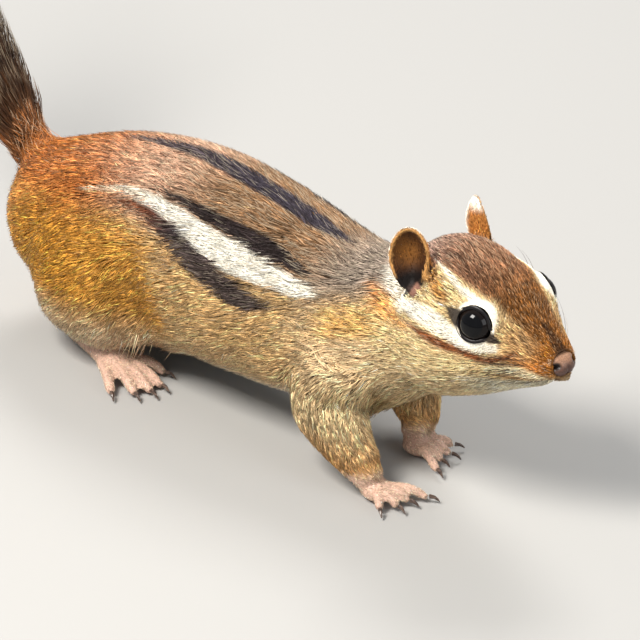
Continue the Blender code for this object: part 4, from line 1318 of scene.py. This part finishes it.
def nose_cushion():
    nose, ways = smooth_ball("nose_cushion", 96, 64)
    places = NOSE_CENTRE + ways * NOSE_HALF
    move_mesh(nose.data, places)
    # The nostrils and the furrow are darkened with painted shade.
    hole = ramp(line_distance(on_right(places), NOSTRIL_LINE)[0], 1.05, 0.55)
    crease = ramp(line_distance(on_right(places), FURROW_LINE)[0], 0.5, 0.2)
    tint = mix(NOSE_DARK, NOSE_PINK, ramp(places[:, 2] - 0.5 * (places[:, 0] - 59), 34.2, 37.4))
    tint = mix(tint, NOSE_TAN, ramp(places[:, 2], 37.2, 39.2))
    fold(nose.data, NOSTRIL_LINE, 0.55, 1.1)
    fold(nose.data, FURROW_LINE, 0.25, 0.4)
    # Painted shade in the furrow.
    tint = mix(tint, NOSE_DARK, crease * 0.6)
    store_colours(nose.data, mix(tint, NOSTRIL_SHADE, hole))
    nose.data.materials.append(coat_material("nose_leather", 0.42, 3600, 0.22, 0.5, "ShaderNodeTexVoronoi", 0.08))
    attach(nose, "root")
    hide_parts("nose")
    return nose


def nose_hairs(near):
    return 34.0 * ramp(near.x, 56.5, 57.5) * ramp(near.z, 35, 36)


def nose_fuzz():
    """Very short pale hairs that thin out over the top and sides of the cushion."""
    rng = np.random.default_rng(41)
    spots, _, uvs = grow_roots(nose_hairs, 8)
    cushion = surface_tree(nose.data)
    found = [cushion.find_nearest(spot) for spot in spots.tolist()]
    starts = np.array([hit[0] for hit in found])
    ways = np.array([hit[1] for hit in found])
    clear = line_distance(on_right(starts), NOSTRIL_LINE)[0] > 0.7
    bare = ramp(starts[:, 0] - 0.6 * (starts[:, 2] - 37), 60.2, 62.2)
    keep = clear & (rng.uniform(size=len(starts)) > bare) & (starts[:, 2] > 35.2)
    starts, ways, uvs = starts[keep], ways[keep], uvs[keep]
    lie = unit(np.cross(ways, np.cross([-1.0, 0, 0.35], ways)) + rng.normal(0, 0.25, ways.shape))
    length = rng.uniform(0.8, 1.4, len(starts))[:, None]
    half_way, tips = starts + lie * length * 0.5 + ways * 0.12, starts + lie * length + ways * 0.1
    lines = np.stack([starts - ways * 0.1, half_way, tips], axis=1)
    tint = mix(NOSE_HAIR_PALE, NOSE_HAIR_DARK, rng.uniform(size=len(starts)) < 0.4)
    widths = np.array([0.06, 0.055, 0.0]) * np.ones((len(starts), 1))
    return coat_mesh("nose_fuzz", lines, widths, ways, np.stack([tint] * 3, axis=1), uvs)


nose = nose_cushion()
fuzz = nose_fuzz()
print("nose", [round(v * 1000, 1) for v in nose.dimensions], "with", len(fuzz.data.polygons) // 10, "hairs")

# %% [markdown]
# ## Whiskers
# Long stiff hairs grow in rows from each side of the muzzle and sweep back past the
# cheeks. They could be curves with a bevel, but a tapering tube from arrays is as
# simple, and all of them make one light mesh.

# %% Whiskers
WHISKER_ROWS = ((57.4, 38.3), (57.2, 37.2), (57.0, 36.1), (56.8, 35.1))
WHISKER_BLACK = linear(40, 30, 26)
WHISKER_PALE = linear(190, 176, 158)
BROW_HAIRS = ((43.6, 49.4), (45.0, 49.2))
WHISKER_SIDES = 5
WHISKER_LEVELS = 14
WHISKER_HALF_WIDTH, BROW_HALF_WIDTH = 0.055, 0.05


def whisker_paths():
    """Each whisker's middle line, half widths and colour. The further back it grows, the longer it is."""
    rng = np.random.default_rng(31)
    share = np.linspace(0, 1, WHISKER_LEVELS)
    taper = 1 - 0.85 * share
    for side in (-1, 1):
        for row, (x, z) in enumerate(WHISKER_ROWS):
            for k in range(4):
                start = np.array([x - k * 1.25, side * 8.0, z - k * 0.12 + rng.uniform(-0.15, 0.15)])
                spot = np.array(skin_tree.find_nearest(start.tolist())[0])
                length = (9 + 3.1 * k) * rng.uniform(0.85, 1.15)
                ahead = unit([-0.55 - 0.06 * k, side * 0.78, 0.22 - 0.16 * row + rng.uniform(-0.08, 0.08)])
                bend = np.array([-0.55, -side * 0.20, -0.10 + rng.uniform(-0.08, 0.08)])
                line = spot + ahead * (share * length)[:, None] + bend * (share**2 * length * 0.45)[:, None]
                tint = WHISKER_PALE if rng.uniform() < 0.3 else WHISKER_BLACK
                yield line, WHISKER_HALF_WIDTH * taper, tint
        for x, z in BROW_HAIRS:
            spot = np.array(skin_tree.find_nearest([x, side * 9.0, z])[0])
            ahead = unit([-0.7, side * 0.45, 0.45])
            line = spot + ahead * (share * 5)[:, None] + np.array([-1.0, 0, -0.5]) * (share**2 * 1.8)[:, None]
            yield line, BROW_HALF_WIDTH * taper, WHISKER_BLACK


def whisker_mesh():
    places, faces, tints = [], [], []
    for line, radii, tint in whisker_paths():
        faces += tube_faces(WHISKER_LEVELS, WHISKER_SIDES, len(places))
        ahead = unit(np.gradient(line, axis=0))
        across = unit(np.cross(ahead, [0.1, 0.2, 1]))
        over = np.cross(ahead, across)
        for level in range(WHISKER_LEVELS):
            for side in range(WHISKER_SIDES):
                turn = math.tau * side / WHISKER_SIDES
                out = across[level] * math.cos(turn) + over[level] * math.sin(turn)
                places.append(line[level] + out * radii[level])
                tints.append(tint)
    obj = mesh_object("whiskers", places, faces)
    store_colours(obj.data, np.array(tints))
    face_outwards(obj)
    obj.data.materials.append(coat_material("whisker", 0.4, 900, 0.1, 0.4))
    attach(obj, "root")
    return obj


whiskers = whisker_mesh()
print("whiskers of", len(whiskers.data.polygons), "faces")

# %% [markdown]
# ## Claws
# The claws of the frame already have their hooked shape, so they stay and only get a
# finish: dark horn with faint streaks along it, smooth and a little glossy.

# %% Claws


def claw_material():
    material, tree, shader = plain_material("claw_horn", {"Roughness": 0.32, "Specular IOR Level": 0.45})
    where = add_node(tree, "ShaderNodeTexCoord")
    stretch = add_node(tree, "ShaderNodeMapping", {"Scale": (0.25, 1, 1)}, Vector=where.outputs["Object"])
    streaks = add_node(tree, "ShaderNodeTexNoise", {"Scale": 3200}, Vector=stretch.outputs["Vector"])
    shades = add_node(tree, "ShaderNodeValToRGB", Fac=streaks.outputs["Fac"])
    shades.color_ramp.elements[0].position = 0.35
    shades.color_ramp.elements[0].color = (*linear(46, 34, 30), 1)
    shades.color_ramp.elements[1].position = 0.75
    shades.color_ramp.elements[1].color = (*linear(112, 92, 80), 1)
    tree.links.new(shades.outputs["Color"], shader.inputs["Base Color"])
    add_bump(tree, shader, streaks.outputs["Fac"], 0.04)
    return material


horn = claw_material()
claws = [node for name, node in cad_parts.items() if "claw" in name]
for claw in claws:
    claw.data.materials.clear()
    claw.data.materials.append(horn)
print("claws:", len(claws))
